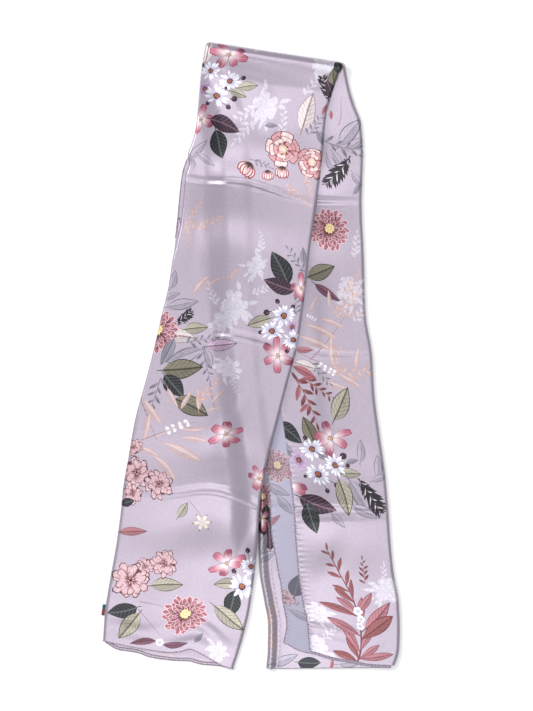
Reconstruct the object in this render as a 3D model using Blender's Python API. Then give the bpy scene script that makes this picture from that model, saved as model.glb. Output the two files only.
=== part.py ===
"""A printed silk satin scarf, folded in four lengthwise, folded in half across and laid flat.

Metres, +Z up, the underside on z = 0 and the middle of the plan at the origin. +Y runs towards the
rounded turn, where the upper half passes into the lower half.
The scarf is one panel of cloth. Folded in four it has layers 1 and 2 (the two long hems), and
layers 3 and 4 (joined by the first fold). Layers 1 and 4 meet at the second fold, outside 2 and 3.
The lower half shows layer 1 on top. The upper half is turned over, so it shows layer 4.
"""

import math

import bmesh
import bpy

MM = 0.001

# ---------------------------------------------------------------- sizes
WALL = 1.2 * MM                 # wall of the upper half's top layer
WALL_UNDER = 1.0 * MM           # walls of the lower half's two top layers
GAP = 0.3 * MM                  # between neighbouring pieces
THICK_OVER = 6.5 * MM           # the upper half, all four layers
THICK_OVER_END = 5.0 * MM       # and at its open end
FLAT_END = (16.0 * MM, 70.0 * MM)   # it thickens over this stretch
FLAT_STEP = 12.0 * MM           # spacing of the sections there
THICK_BASE = 4.0 * MM           # the lower half's two bottom layers
THICK_INNER = THICK_BASE + GAP + WALL_UNDER
THICK_UNDER = THICK_INNER + GAP + WALL_UNDER
FOLD_REACH = 5.0 * MM           # how far a long fold's rounding reaches into the panel
FOLD_STOP = -35.0               # where a wall that rounds a fold ends, in degrees from level
LIP_SHARE = 0.15                # height of the hidden layers' lip below that, as part of the thickness
LIP_EDGE = 0.4 * MM             # the lip's rounded edge, from the panel's outermost line
LIP_TOP = 1.2 * MM              # the lip is level from here
LIP_BACK = 2.2 * MM             # and meets the layers' body here
LIP_UNDER = 1.5 * MM            # its underside starts here
BODY_GAP = 0.1 * MM             # more room beside the body, where the folds are steep
HEM_RADIUS = 0.8 * MM           # a rolled and stitched hem
HEM_ROOM = 2.0 * HEM_RADIUS + GAP

LIFT_GAP = 1.2 * MM             # the upper half's underside above the lower half
LIFT_SIDE = (-32.0 * MM, -9.0 * MM)     # it rises over this stretch beside the lower half
LIFT_ALONG = (-330.0 * MM, -245.0 * MM) # and over this one in Y, above where the halves part
TUNNEL_HEIGHT = 5.0 * MM        # hollow inside the turn
TUNNEL_RUN = 42.0 * MM          # how far the hollow reaches back from the turn
TURN_STEPS = 8                  # sections round the turn
STATION = 40.0 * MM             # spacing of the sections elsewhere

# The rows below are measured from the middle of the outline; this brings the solid's middle there.
PLAN_SHIFT = (0.85, -1.0)

# Sections of the upper half, from its open end to the turn: both edges, in millimetres.
# left_x, left_y, right_x, right_y
OVER_ROWS = (
    (-214.9, -413.0, -26.1, -453.7),
    (-212.0, -371.0, -11.6, -407.3),
    (-204.7, -324.5, -1.5, -363.7),
    (-194.6, -266.4, 7.0, -298.4),
    (-188.8, -222.9, 10.9, -249.0),
    (-185.9, -192.4, 12.3, -225.8),
    (-178.6, -150.3, 17.4, -182.2),
    (-168.4, -92.2, 30.5, -125.6),
    (-152.5, -34.1, 46.5, -63.2),
    (-137.9, 24.0, 59.5, -13.8),
    (-130.7, 55.9, 66.1, 9.4),
    (-119.1, 105.3, 74.8, 66.1),
    (-108.2, 195.3, 86.4, 163.4),
    (-100.9, 263.5, 95.4, 222.9),
    (-92.2, 292.6, 100.9, 267.9),
    (-80.6, 328.9, 104.5, 299.9),
    (-75.5, 376.8, 108.9, 347.8),
    (-72.6, 408.7, 117.6, 381.2),
    (-68.2, 435.6, 126.9, 407.5),
    (-66.1, 447.8, 132.1, 417.3),
)

# Sections of the lower half, from its open end to the turn, in millimetres.
# left_x, left_y, right_x, right_y
UNDER_ROWS = (
    (21.8, -453.4, 207.6, -451.6),
    (24.2, -426.2, 214.9, -426.2),
    (24.7, -389.9, 216.0, -395.7),
    (18.9, -353.6, 214.5, -356.5),
    (12.2, -310.0, 206.9, -312.9),
    (10.9, -266.4, 202.6, -270.8),
    (11.6, -212.7, 199.2, -222.2),
    (7.3, -164.8, 194.6, -170.6),
    (-0.7, -106.7, 186.6, -112.5),
    (-8.7, -48.6, 179.0, -53.0),
    (-13.8, 9.4, 175.7, 2.2),
    (-18.2, 67.5, 166.3, 63.2),
    (-21.8, 147.4, 163.8, 144.5),
    (-24.7, 227.2, 160.6, 221.4),
    (-27.6, 299.8, 162.6, 294.0),
    (-33.4, 346.3, 159.7, 337.0),
    (-43.6, 379.7, 149.6, 366.0),
    (-55.2, 413.1, 142.3, 391.0),
    (-64.5, 446.5, 137.5, 415.5),
)

# The lower half's two free long hems: distance from the open end, and from the left-hand fold.
# along, hem of layer 1, hem of layer 2
FREE_HEM_ROWS = (
    (0.0, 61.0, 22.0),
    (30.0, 58.0, 26.5),
    (80.0, 55.5, 26.5),
    (120.0, 56.0, 28.0),
    (155.0, 55.5, 25.0),
    (200.0, 52.5, 18.0),
    (270.0, 48.0, 15.0),
    (900.0, 46.0, 15.0),
)
FREE_HEM_RUN = 300.0 * MM       # the rolls are made as far as they show

# How far each open end stops short of its last section, across the panel (0 left, 1 right).
# across, upper half's top layer, upper half's hidden layers, lower half's layers 1 and 2
END_ROWS = (
    (0.0, 0.0, 0.0, 42.0),
    (0.13, 0.0, -8.0, 36.0),
    (0.26, 0.5, -6.5, 25.0),
    (0.38, 1.5, -9.0, 20.0),
    (0.50, 3.5, -7.5, 13.0),
    (0.58, 7.5, -5.5, 10.0),
    (0.67, 14.5, -2.5, 7.5),
    (0.75, 11.0, -3.5, 4.0),
    (0.84, 5.5, -1.5, 1.5),
    (0.92, 1.0, 0.0, 0.5),
    (1.0, 0.0, 0.0, 0.0),
)
END_RUN = 150.0 * MM            # an end's shape fades out over this length
OVER_STEPS = (3.5, 8.0)         # where the hidden layers end one after another, from their open end
UNDER_STEP = 3.0
END_BACK = 3.0 * MM             # layer 1's open end lies this far behind layer 2's
RISER = 0.3 * MM                # length of a step from one layer to the next
LAYER = 1.4 * MM                # height of one hidden layer before the end is flattened

# The hidden layers peep out of the upper half's left edge here: distance from the open end, reach.
SIDE_ROWS = (
    (0.0, 0.0),
    (560.0, 0.0),
    (590.0, 3.0),
    (625.0, 6.5),
    (665.0, 7.0),
    (690.0, 6.0),
    (705.0, 7.0),
    (730.0, 0.0),
    (900.0, 0.0),
)
SIDE_HEM = (600.0 * MM, 718.0 * MM)

# Creases from the folded packing, straight across: distance from the open end, depth, half width.
OVER_CREASES = ((187.0, 1.3, 9.0), (428.0, 0.9, 8.0), (650.0, 1.1, 8.0))
UNDER_CREASES = ((232.0, 0.9, 8.0), (459.0, 0.7, 8.0), (676.0, 0.6, 7.0))

# Soft lengthwise hollows of the upper half.
# across, depth, half width, start, end
OVER_HOLLOWS = ((0.13, 1.3, 9.0, 560.0, 640.0), (0.50, 1.0, 12.0, 750.0, 790.0))

FOLD_PUFF = 3.2 * MM            # the lower half's left-hand fold stands proud by this
PUFF_REACH = 6.0 * MM
# From that fold into the panel: distance, height as part of the base's thickness.
VALLEY_ROWS = ((9.5, 1.35), (12.0, 0.9), (15.0, 0.7), (19.0, 0.88), (24.0, 1.0))
FOLD_ARC = (-55, -15, 20, 55, 90)       # the fold's rounding, in degrees from level

# The right-hand end of the two bottom layers: distance from the fold, height as part of theirs.
RIM_ROWS = ((5.5, 1.0), (3.2, 0.8), (2.6, 0.55), (2.1, 0.25), (1.8, 0.1))
BASE_START = 4.5 * MM           # their underside starts here
BASE_STOP = 2.4 * MM            # and stops this far from the right-hand fold
BASE_PARTS = 5
INNER_STOP = 6.0 * MM           # layer 2 stops this far from it
KNEE_RUN = 2.0 * MM             # least length of its slope down into the valley
FACE_PARTS = 7
SIDE_HEM_PARTS = 14

LABEL_LENGTH = 16.0 * MM
LABEL_REACH = 4.2 * MM
LABEL_THICK = 0.8 * MM
LABEL_HEIGHT = 2.6 * MM
LABEL_ALONG = 48.0 * MM         # its middle, from the open end
LABEL_TURN = math.radians(2.0)  # the left edge isn't quite square to the section there

# Linear red, green, blue; roughness.
PRINTED_SATIN = ("printed_satin", (0.52, 0.44, 0.53), 0.38)
SATIN_REVERSE = ("satin_reverse", (0.50, 0.47, 0.60), 0.55)
ROLLED_HEM = ("rolled_hem", (0.50, 0.41, 0.50), 0.55)
WOVEN_LABEL = ("woven_label", (0.06, 0.27, 0.28), 0.8)


# ---------------------------------------------------------------- curves through tables
def smooth_step(edge0, edge1, value):
    t = min(1.0, max(0.0, (value - edge0) / (edge1 - edge0)))
    return t * t * (3.0 - 2.0 * t)


def bell(value, half_width):
    """1 at zero, falling softly to 0 at twice the half width."""
    t = min(1.0, abs(value) / (2.0 * half_width))
    return (1.0 - t * t) ** 2


def through(keys, values, key):
    """A smooth curve through the values that doesn't swing past them."""
    if key <= keys[0]:
        return values[0]
    if key >= keys[-1]:
        return values[-1]
    i = max(j for j in range(len(keys) - 1) if keys[j] <= key)

    def slope(j):
        if j <= 0 or j >= len(keys) - 1:
            k = 0 if j <= 0 else len(keys) - 2
            return (values[k + 1] - values[k]) / (keys[k + 1] - keys[k])
        before = (values[j] - values[j - 1]) / (keys[j] - keys[j - 1])
        after = (values[j + 1] - values[j]) / (keys[j + 1] - keys[j])
        return 0.0 if before * after <= 0.0 else 2.0 * before * after / (before + after)

    step = keys[i + 1] - keys[i]
    t = (key - keys[i]) / step
    start = (1.0 + 2.0 * t) * (1.0 - t) ** 2 * values[i] + t * (1.0 - t) ** 2 * step * slope(i)
    end = t * t * (3.0 - 2.0 * t) * values[i + 1] + t * t * (t - 1.0) * step * slope(i + 1)
    return start + end


def look_up(rows, index, key):
    """Column index of a table in millimetres, at a first-column key in metres."""
    keys = [row[0] * MM for row in rows]
    return through(keys, [row[index] * MM for row in rows], key)


class Half:
    """One half of the scarf in plan: sections from its open end to the turn."""

    def __init__(self, rows):
        self.edges = [[row[i] * MM + PLAN_SHIFT[i % 2] * MM for row in rows] for i in range(4)]
        left_x, left_y, right_x, right_y = self.edges
        self.along = [0.0]
        for i in range(1, len(rows)):
            step_x = (left_x[i] + right_x[i] - left_x[i - 1] - right_x[i - 1]) / 2.0
            step_y = (left_y[i] + right_y[i] - left_y[i - 1] - right_y[i - 1]) / 2.0
            self.along.append(self.along[-1] + math.hypot(step_x, step_y))
        self.length = self.along[-1]

    def section(self, along):
        """Both edges at a distance from the open end, which may be a little past either end."""
        inside = min(max(along, 0.0), self.length)
        left_x, left_y, right_x, right_y = (through(self.along, edge, inside) for edge in self.edges)
        width = math.hypot(right_x - left_x, right_y - left_y)
        forward_x = -(right_y - left_y) / width * (along - inside)
        forward_y = (right_x - left_x) / width * (along - inside)
        return left_x + forward_x, left_y + forward_y, right_x + forward_x, right_y + forward_y

    def width(self, along):
        left_x, left_y, right_x, right_y = self.section(along)
        return math.hypot(right_x - left_x, right_y - left_y)

    def plan(self, across, along):
        """across is a length from the left edge."""
        left_x, left_y, right_x, right_y = self.section(along)
        part = across / math.hypot(right_x - left_x, right_y - left_y)
        return left_x + (right_x - left_x) * part, left_y + (right_y - left_y) * part

    def stations(self, creases, extra=()):
        """Even sections, with three at each crease."""
        count = round(self.length / STATION)
        marks = [along * MM + side * width * MM for along, depth, width in creases for side in (-1, 0, 1)]
        marks += list(extra)
        even = [self.length * i / count for i in range(count + 1)]
        clear = [s for s in even if all(abs(s - mark) > STATION * 0.3 for mark in marks)]
        return sorted(set(clear + marks + [0.0, self.length]))


over = Half(OVER_ROWS)
under = Half(UNDER_ROWS)


def end_shift(half, layer, across, along):
    """How far a layer's points are moved up from the open end; layer is a column of END_ROWS."""
    part = across / half.width(along)
    shift = through([row[0] for row in END_ROWS], [row[layer] * MM for row in END_ROWS], part)
    return shift * (1.0 - smooth_step(0.0, END_RUN, along))


# ---------------------------------------------------------------- the upper half's heights
TURN_FLOOR = THICK_UNDER + TUNNEL_HEIGHT
TURN_INSIDE = (TURN_FLOOR - THICK_OVER) / 2.0
TURN_AXIS = TURN_INSIDE + THICK_OVER


def inside_under(x, y):
    """How far a place in plan lies to the right of the lower half's left-hand fold."""
    left_x, left_y = under.edges[:2]
    return x - through(left_y, left_x, y)


def over_floor(x, y, along):
    """Underside of the upper half: on the surface, or risen over the lower half and the hollow."""
    inside = inside_under(x, y)
    puff = 0.5 * FOLD_PUFF * (1.0 - smooth_step(2.0 * PUFF_REACH, 5.0 * PUFF_REACH, inside))
    rise = smooth_step(*LIFT_SIDE, inside) * smooth_step(*LIFT_ALONG, y) * (THICK_UNDER + LIFT_GAP + puff)
    turn = smooth_step(over.length - TUNNEL_RUN, over.length - FOLD_REACH, along)
    return rise * (1.0 - turn) + TURN_FLOOR * turn


def over_flatten(along):
    """The layers press flatter towards the open end."""
    end = THICK_OVER_END / THICK_OVER
    return end + (1.0 - end) * smooth_step(FLAT_END[0], FLAT_END[1], along)


def over_relief(across, along):
    """Creases and hollows of the upper half's top layer."""
    part = across / over.width(along)
    fade = math.sin(math.pi * min(1.0, max(0.0, part))) ** 0.5
    depth = sum(d * MM * bell(along - s * MM, w * MM) for s, d, w in OVER_CREASES)
    for middle, hollow, half_width, start, end in OVER_HOLLOWS:
        place = (part - middle) * over.width(along)
        ends = min(smooth_step(start * MM - STATION, start * MM, along),
                   1.0 - smooth_step(end * MM, end * MM + STATION, along))
        depth += hollow * MM * bell(place, half_width * MM) * ends
    return -depth * fade


def over_point(across, height, along, layer):
    """A point of the upper half: height is above its underside, layer a column of END_ROWS."""
    relief = over_relief(across, along) * height / THICK_OVER
    moved = along + end_shift(over, layer, across, along)
    x, y = over.plan(across, moved)
    return x, y, over_floor(x, y, moved) + height * over_flatten(moved) + relief


def turn_point(across_part, height, angle):
    """A point of the turn: angle runs from 90 degrees, on top, to -90, underneath."""
    part = (90.0 - angle) / 180.0
    upper = over.section(over.length)
    lower = under.section(under.length)
    left_x, left_y, right_x, right_y = (a + (b - a) * part for a, b in zip(upper, lower))
    width = math.hypot(right_x - left_x, right_y - left_y)
    reach = (TURN_INSIDE + height) * math.cos(math.radians(angle))
    x = left_x + (right_x - left_x) * across_part - (right_y - left_y) / width * reach
    y = left_y + (right_y - left_y) * across_part + (right_x - left_x) / width * reach
    return x, y, TURN_AXIS + (TURN_INSIDE + height) * math.sin(math.radians(angle))


# ---------------------------------------------------------------- the upper half's sections
ARC = (FOLD_STOP, -5.0, 25.0, 55.0, 90.0)
TOP_PARTS = 10


def level_places(width, inset):
    """Where a folded panel's level top is divided, from one fold's rounding to the other's."""
    start = inset + FOLD_REACH
    run = width - FOLD_REACH - start
    return [start + run * i / TOP_PARTS for i in range(TOP_PARTS + 1)]


def fold_line(width, thick, inset, depth, side_gap):
    """Rounded line over a folded panel, depth inside its skin: (across, height) left to right."""
    reach = FOLD_REACH - depth - side_gap
    rise = thick / 2.0 - depth
    arc = [(reach * math.cos(math.radians(a)), thick / 2.0 + rise * math.sin(math.radians(a))) for a in ARC]
    left = [(inset + FOLD_REACH - x, z) for x, z in arc]
    right = [(width - FOLD_REACH + x, z) for x, z in reversed(arc)]
    top = [(x, thick - depth) for x in level_places(width, inset)[1:-1]]
    return left + top + right


def face_section(width, thick, inset):
    return fold_line(width, thick, inset, 0.0, 0.0), fold_line(width, thick, inset, WALL, 0.0)


def core_section(width, thick, inset, cap):
    """The hidden layers: a lip below the folds, and the body inside the top layer."""
    lip = thick * LIP_SHARE
    left = [(LIP_EDGE, lip / 2.0), (LIP_TOP, lip), (inset + LIP_BACK, lip)]
    right = [(width - LIP_BACK, lip), (width - LIP_TOP, lip), (width - LIP_EDGE, lip / 2.0)]
    body = fold_line(width, thick, inset, WALL + GAP, BODY_GAP)
    upper = left + body + right
    level = level_places(width, inset)
    rim = (len(upper) - len(level)) // 2
    start, end = LIP_UNDER, width - LIP_UNDER
    places = [start + (level[0] - start) * i / rim for i in range(rim)] + level
    places += [end + (level[-1] - end) * i / rim for i in range(rim)][::-1]
    return [(x, min(z, cap)) for x, z in upper], [(x, 0.0) for x in places]


def side_inset(along):
    return look_up(SIDE_ROWS, 1, along)


# ---------------------------------------------------------------- the lower half
def base_height(across):
    """Top of the two bottom layers: the puffed fold, the pressed valley, then level."""
    keys = [PUFF_REACH] + [row[0] * MM for row in VALLEY_ROWS]
    heights = [THICK_BASE + FOLD_PUFF] + [row[1] * THICK_BASE for row in VALLEY_ROWS]
    return through(keys, heights, across)


def under_relief(across, along):
    part = across / under.width(along)
    fade = math.sin(math.pi * min(1.0, max(0.0, part))) ** 0.5
    return -fade * sum(d * MM * bell(along - s * MM, w * MM) for s, d, w in UNDER_CREASES)


def under_point(across, height, along, shifted):
    relief = under_relief(across, along) * height / THICK_UNDER
    moved = along + (end_shift(under, 3, across, along) if shifted else 0.0)
    x, y = under.plan(across, moved)
    return x, y, height + relief


def base_section(width, cap):
    arc = [(PUFF_REACH * (1.0 - math.cos(math.radians(a))),
            (THICK_BASE + FOLD_PUFF) * (0.5 + 0.5 * math.sin(math.radians(a)))) for a in FOLD_ARC]
    valley = [(row[0] * MM, base_height(row[0] * MM)) for row in VALLEY_ROWS]
    rim = [(width - row[0] * MM, row[1] * THICK_BASE) for row in RIM_ROWS]
    start = valley[-1][0]
    level = [(start + (rim[0][0] - start) * i / BASE_PARTS, THICK_BASE) for i in range(1, BASE_PARTS)]
    upper = arc + valley + level + rim
    run = width - BASE_STOP - BASE_START
    lower = [(BASE_START + run * i / (len(upper) - 1), 0.0) for i in range(len(upper))]
    return [(x, min(z, cap)) for x, z in upper], lower


def inner_section(width, start):
    knee = max(VALLEY_ROWS[-1][0] * MM, start + KNEE_RUN)
    end = width - INNER_STOP
    level = [knee + (end - knee) * i / BASE_PARTS for i in range(BASE_PARTS + 1)]
    places = [start, (start + knee) / 2.0] + level
    lower = [(x, base_height(x) + GAP) for x in places]
    return [(x, z + WALL_UNDER) for x, z in lower], lower


def under_face_section(width, start):
    """From the free hem across, and round the right-hand fold."""
    end = width - FOLD_REACH
    skins = []
    for depth in (0.0, WALL_UNDER):
        top = [(start + (end - start) * i / FACE_PARTS, THICK_UNDER - depth) for i in range(FACE_PARTS)]
        arc = [(end + (FOLD_REACH - depth) * math.cos(math.radians(a)),
                THICK_UNDER / 2.0 + (THICK_UNDER / 2.0 - depth) * math.sin(math.radians(a)))
               for a in reversed(ARC)]
        skins.append(top + arc)
    return skins


# ---------------------------------------------------------------- making solids
def material(name, colour, roughness):
    made = bpy.data.materials.get(name) or bpy.data.materials.new(name)
    made.use_nodes = True
    shader = made.node_tree.nodes["Principled BSDF"]
    shader.inputs["Base Color"].default_value = (*colour, 1.0)
    shader.inputs["Roughness"].default_value = roughness
    return made


def finish_object(obj, finish, collection):
    obj.data.materials.clear()
    obj.data.materials.append(material(*finish))
    collection.objects.link(obj)
    return obj


def loft(name, rows, finish, collection):
    """A closed solid through sections; each is an upper and a lower line of as many points.

    Each four-sided patch is split along the same diagonal, above and below, so that a piece and
    the one that lies on it keep their distance between the sections too.
    """
    mesh = bpy.data.meshes.new(name)
    bm = bmesh.new()
    grid = [[[bm.verts.new(p) for p in line] for line in row] for row in rows]
    for row, following in zip(grid, grid[1:]):
        loop = row[0] + row[1][::-1]
        loop_after = following[0] + following[1][::-1]
        for i in range(len(loop)):
            j = (i + 1) % len(loop)
            if i < len(row[0]):
                bm.faces.new((loop[i], loop[j], loop_after[j]))
                bm.faces.new((loop[i], loop_after[j], loop_after[i]))
            else:
                bm.faces.new((loop[i], loop[j], loop_after[i]))
                bm.faces.new((loop[j], loop_after[j], loop_after[i]))
    for upper, lower in (grid[0], grid[-1]):
        for i in range(len(upper) - 1):
            bm.faces.new((upper[i], upper[i + 1], lower[i + 1], lower[i]))
    bmesh.ops.recalc_face_normals(bm, faces=bm.faces)
    bm.to_mesh(mesh)
    bm.free()
    mesh.shade_smooth()
    return finish_object(bpy.data.objects.new(name, mesh), finish, collection)


def roll(name, points, collection):
    """A rolled hem: a thin tube along its edge."""
    curve = bpy.data.curves.new(name, "CURVE")
    curve.dimensions = "3D"
    curve.bevel_depth = HEM_RADIUS
    curve.bevel_resolution = 1
    curve.use_fill_caps = True
    spline = curve.splines.new("POLY")
    spline.points.add(len(points) - 1)
    for point, place in zip(spline.points, points):
        point.co = (*place, 1.0)
    return finish_object(bpy.data.objects.new(name, curve), ROLLED_HEM, collection)


def over_rows(layer, stations, section):
    """Rows of points for a piece of the upper half, up to and round the turn."""
    rows = []
    for along in stations:
        lines = section(over.width(along), THICK_OVER, side_inset(along), along)
        rows.append([[over_point(x, z, along, layer) for x, z in line] for line in lines])
    width = over.width(over.length)
    lines = section(width, THICK_OVER, 0.0, over.length)
    for i in range(1, TURN_STEPS + 1):
        angle = 90.0 - 180.0 * i / TURN_STEPS
        rows.append([[turn_point(x / width, z, angle) for x, z in line] for line in lines])
    return rows


def over_stations():
    """Sections of the upper half beyond its end, closer together where its height changes."""
    flat = [FLAT_STEP * i for i in range(1, 8)]
    tunnel = [over.length - TUNNEL_RUN * part for part in (1.0, 0.7, 0.4, 0.2)]
    return [s for s in over.stations(OVER_CREASES, flat + tunnel) if s > 0.0]


def make_over_face(collection):
    rows = over_rows(1, [HEM_ROOM] + over_stations(), lambda w, t, i, s: face_section(w, t, i))
    return loft("over_face", rows, PRINTED_SATIN, collection)


def make_over_core(collection):
    first, second = (HEM_ROOM + step * MM for step in OVER_STEPS)

    def section(width, thick, inset, along):
        cap = thick
        if along < first + RISER / 2.0:
            cap = LAYER
        elif along < second + RISER / 2.0:
            cap = 2.0 * LAYER
        return core_section(width, thick, inset, cap)

    stations = [HEM_ROOM, first, first + RISER, second, second + RISER] + over_stations()[1:]
    return loft("over_core", over_rows(2, stations, section), PRINTED_SATIN, collection)


def under_rows(stations, section, shifted):
    rows = []
    for along in stations:
        lines = section(under.width(along), along)
        rows.append([[under_point(x, z, along, shifted) for x, z in line] for line in lines])
    return rows


def make_under_base(collection):
    step = HEM_ROOM + UNDER_STEP * MM

    def section(width, along):
        low = along < step + RISER / 2.0
        return base_section(width, THICK_BASE / 2.0 if low else THICK_BASE + FOLD_PUFF)

    last = under.length - GAP
    stations = [s for s in under.stations(UNDER_CREASES) if STATION / 2.0 < s < last - GAP]
    stations = [HEM_ROOM, step, step + RISER] + stations + [last]
    return loft("under_base", under_rows(stations, section, False), PRINTED_SATIN, collection)


def free_hem(index, along):
    return look_up(FREE_HEM_ROWS, index, along)


def wall_stations(back):
    """Sections of the lower half's two top walls, back being where their open end starts."""
    last = under.length - GAP
    inside = [s for s in under.stations(UNDER_CREASES) if STATION / 2.0 < s < last - GAP]
    return [HEM_ROOM + back] + inside + [last]


def make_under_wall(name, hem_index, back, section, finish, collection):
    """A wall of the lower half that starts beside its free long hem."""
    rows = under_rows(wall_stations(back), lambda w, s: section(w, free_hem(hem_index, s) + HEM_ROOM), True)
    return loft(name, rows, finish, collection)


def make_rolls(collection):
    r = HEM_RADIUS
    flat = over_flatten(0.0)
    made = []

    def over_end(name, layer, height, along):
        places = level_places(over.width(along), 0.0)
        points = [over_point(across, height, along, layer) for across in places]
        made.append(roll(name, points, collection))

    over_end("hem_over_end_low", 2, r / flat, r)
    over_end("hem_over_end_mid", 2, LAYER + (GAP + r) / flat, r + OVER_STEPS[0] * MM)
    over_end("hem_over_end_top", 1, THICK_OVER - WALL - GAP + (GAP + r) / flat, r)

    side = (SIDE_HEM[1] - SIDE_HEM[0]) / SIDE_HEM_PARTS
    run = [SIDE_HEM[0] + side * i for i in range(SIDE_HEM_PARTS + 1)]
    lip = THICK_OVER * LIP_SHARE
    made.append(roll("hem_over_side", [over_point(LIP_TOP, lip + GAP + r, s, 1) for s in run], collection))

    def under_side(name, index, layer_below, back):
        run = [back + r] + [s for s in wall_stations(back) if s < FREE_HEM_RUN]
        points = []
        for s in run:
            across = free_hem(index, s) + r
            points.append(under_point(across, layer_below(across) + GAP + r, s, True))
        made.append(roll(name, points, collection))

    under_side("hem_under_side_1", 1, lambda across: THICK_INNER, END_BACK)
    under_side("hem_under_side_2", 2, base_height, 0.0)

    def under_end(name, height, along, places, shifted):
        points = [under_point(across, height, along, shifted) for across in places]
        made.append(roll(name, points, collection))

    width = under.width(0.0)
    end = width - FOLD_REACH - r
    for name, index, low, section, back in (
            ("hem_under_end_1", 1, THICK_INNER, under_face_section, END_BACK),
            ("hem_under_end_2", 2, THICK_BASE, inner_section, 0.0)):
        start = free_hem(index, back) + HEM_ROOM + r
        line = section(width, free_hem(index, back) + HEM_ROOM)[0]
        places = [start] + [x for x, z in line[1:] if x < end] + [end]
        under_end(name, low + GAP + r, back + r, places, True)
    base_places = [PUFF_REACH + (end - PUFF_REACH) * i / TOP_PARTS for i in range(TOP_PARTS + 1)]
    under_end("hem_under_end_low", r, r, base_places, False)
    return made


def make_label(collection):
    """A small woven tab beside the upper half's left edge, in line with it."""
    middle = over_point(-GAP - LABEL_REACH / 2.0, LABEL_HEIGHT, LABEL_ALONG, 1)
    left_x, left_y, right_x, right_y = over.section(LABEL_ALONG)
    mesh = bpy.data.meshes.new("label_tab")
    bm = bmesh.new()
    bmesh.ops.create_cube(bm, size=1.0)
    bmesh.ops.scale(bm, vec=(LABEL_REACH, LABEL_LENGTH, LABEL_THICK), verts=bm.verts)
    bm.to_mesh(mesh)
    bm.free()
    tab = bpy.data.objects.new("label_tab", mesh)
    tab.location = middle
    tab.rotation_euler = (0.0, 0.0, math.atan2(right_y - left_y, right_x - left_x) + LABEL_TURN)
    return finish_object(tab, WOVEN_LABEL, collection)


def main():
    for obj in list(bpy.data.objects):
        bpy.data.objects.remove(obj, do_unlink=True)
    collection = bpy.data.collections.new("silk_scarf")
    bpy.context.scene.collection.children.link(collection)
    make_over_face(collection)
    make_over_core(collection)
    make_under_base(collection)
    make_under_wall("under_inner", 2, 0.0, inner_section, SATIN_REVERSE, collection)
    make_under_wall("under_face", 1, END_BACK, under_face_section, PRINTED_SATIN, collection)
    make_rolls(collection)
    make_label(collection)


main()
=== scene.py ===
"""A printed silk satin scarf, folded in four lengthwise, folded in half across and laid flat.

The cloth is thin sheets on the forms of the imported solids. Each sheet's mesh is divided along the
outlines of its printed flowers and leaves, so the print is part of the cloth and needs no picture.
"""

import math
import random

import bmesh
import bpy
import numpy as np
from mathutils import Matrix, Vector
from mathutils.geometry import delaunay_2d_cdt


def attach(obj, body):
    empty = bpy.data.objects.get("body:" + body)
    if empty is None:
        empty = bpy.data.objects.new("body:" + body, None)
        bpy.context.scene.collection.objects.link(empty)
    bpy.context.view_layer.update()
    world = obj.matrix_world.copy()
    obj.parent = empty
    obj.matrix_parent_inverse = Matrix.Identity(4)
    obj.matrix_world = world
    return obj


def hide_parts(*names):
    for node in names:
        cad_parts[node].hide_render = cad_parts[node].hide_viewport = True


MM = 0.001
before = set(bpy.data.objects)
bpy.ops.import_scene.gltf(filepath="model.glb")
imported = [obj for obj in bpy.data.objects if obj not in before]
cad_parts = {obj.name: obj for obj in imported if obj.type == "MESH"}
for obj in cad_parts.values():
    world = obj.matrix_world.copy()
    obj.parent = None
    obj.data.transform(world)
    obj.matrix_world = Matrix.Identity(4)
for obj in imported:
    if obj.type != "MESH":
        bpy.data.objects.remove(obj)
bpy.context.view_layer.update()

# ---------------------------------------------------------------- sizes shared with the solids
# Lengths are millimetres. Only flat sizes, bumps, the floor, lights and camera are in metres.
THICK_OVER = 6.5
THICK_OVER_END = 5.0
FLAT_END = (16.0, 70.0)
THICK_BASE = 4.0
LAYER_STEP = 1.3
THICK_INNER = THICK_BASE + LAYER_STEP
THICK_UNDER = THICK_INNER + LAYER_STEP
FOLD_REACH = 5.0
LIFT_GAP = 1.2
LIFT_SIDE = (-46.0, -6.0)   # softer than the solid, which is held up by its layers
LIFT_ALONG = (-330.0, -245.0)
TUNNEL_HEIGHT = 5.0
TUNNEL_RUN = 42.0
PLAN_SHIFT = (0.85, -1.0)
FOLD_PUFF = 3.2
PUFF_REACH = 6.0
PUFF_ARC = 7.7              # cloth from the puffed fold's outermost line to where it is level
HEM_RADIUS = 0.8
HEM_ROOM = 1.9
END_BACK = 3.0
END_RUN = 150.0

# Sections of the upper half, from its open end to the turn. Both edges are read from the photograph.
# left_x, left_y, right_x, right_y
OVER_ROWS = (
    (-214.9, -413.0, -26.1, -453.7),
    (-212.0, -371.0, -11.6, -407.3),
    (-204.7, -324.5, -1.5, -363.7),
    (-194.6, -266.4, 7.0, -298.4),
    (-188.8, -222.9, 10.9, -249.0),
    (-185.9, -192.4, 12.3, -225.8),
    (-178.6, -150.3, 17.4, -182.2),
    (-168.4, -92.2, 30.5, -125.6),
    (-152.5, -34.1, 46.5, -63.2),
    (-137.9, 24.0, 59.5, -13.8),
    (-130.7, 55.9, 66.1, 9.4),
    (-119.1, 105.3, 74.8, 66.1),
    (-108.2, 195.3, 86.4, 163.4),
    (-100.9, 263.5, 95.4, 222.9),
    (-92.2, 292.6, 100.9, 267.9),
    (-80.6, 328.9, 104.5, 299.9),
    (-75.5, 376.8, 108.9, 347.8),
    (-72.6, 408.7, 117.6, 381.2),
    (-68.2, 435.6, 126.9, 407.5),
    (-66.1, 447.8, 132.1, 417.3),
)

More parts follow.
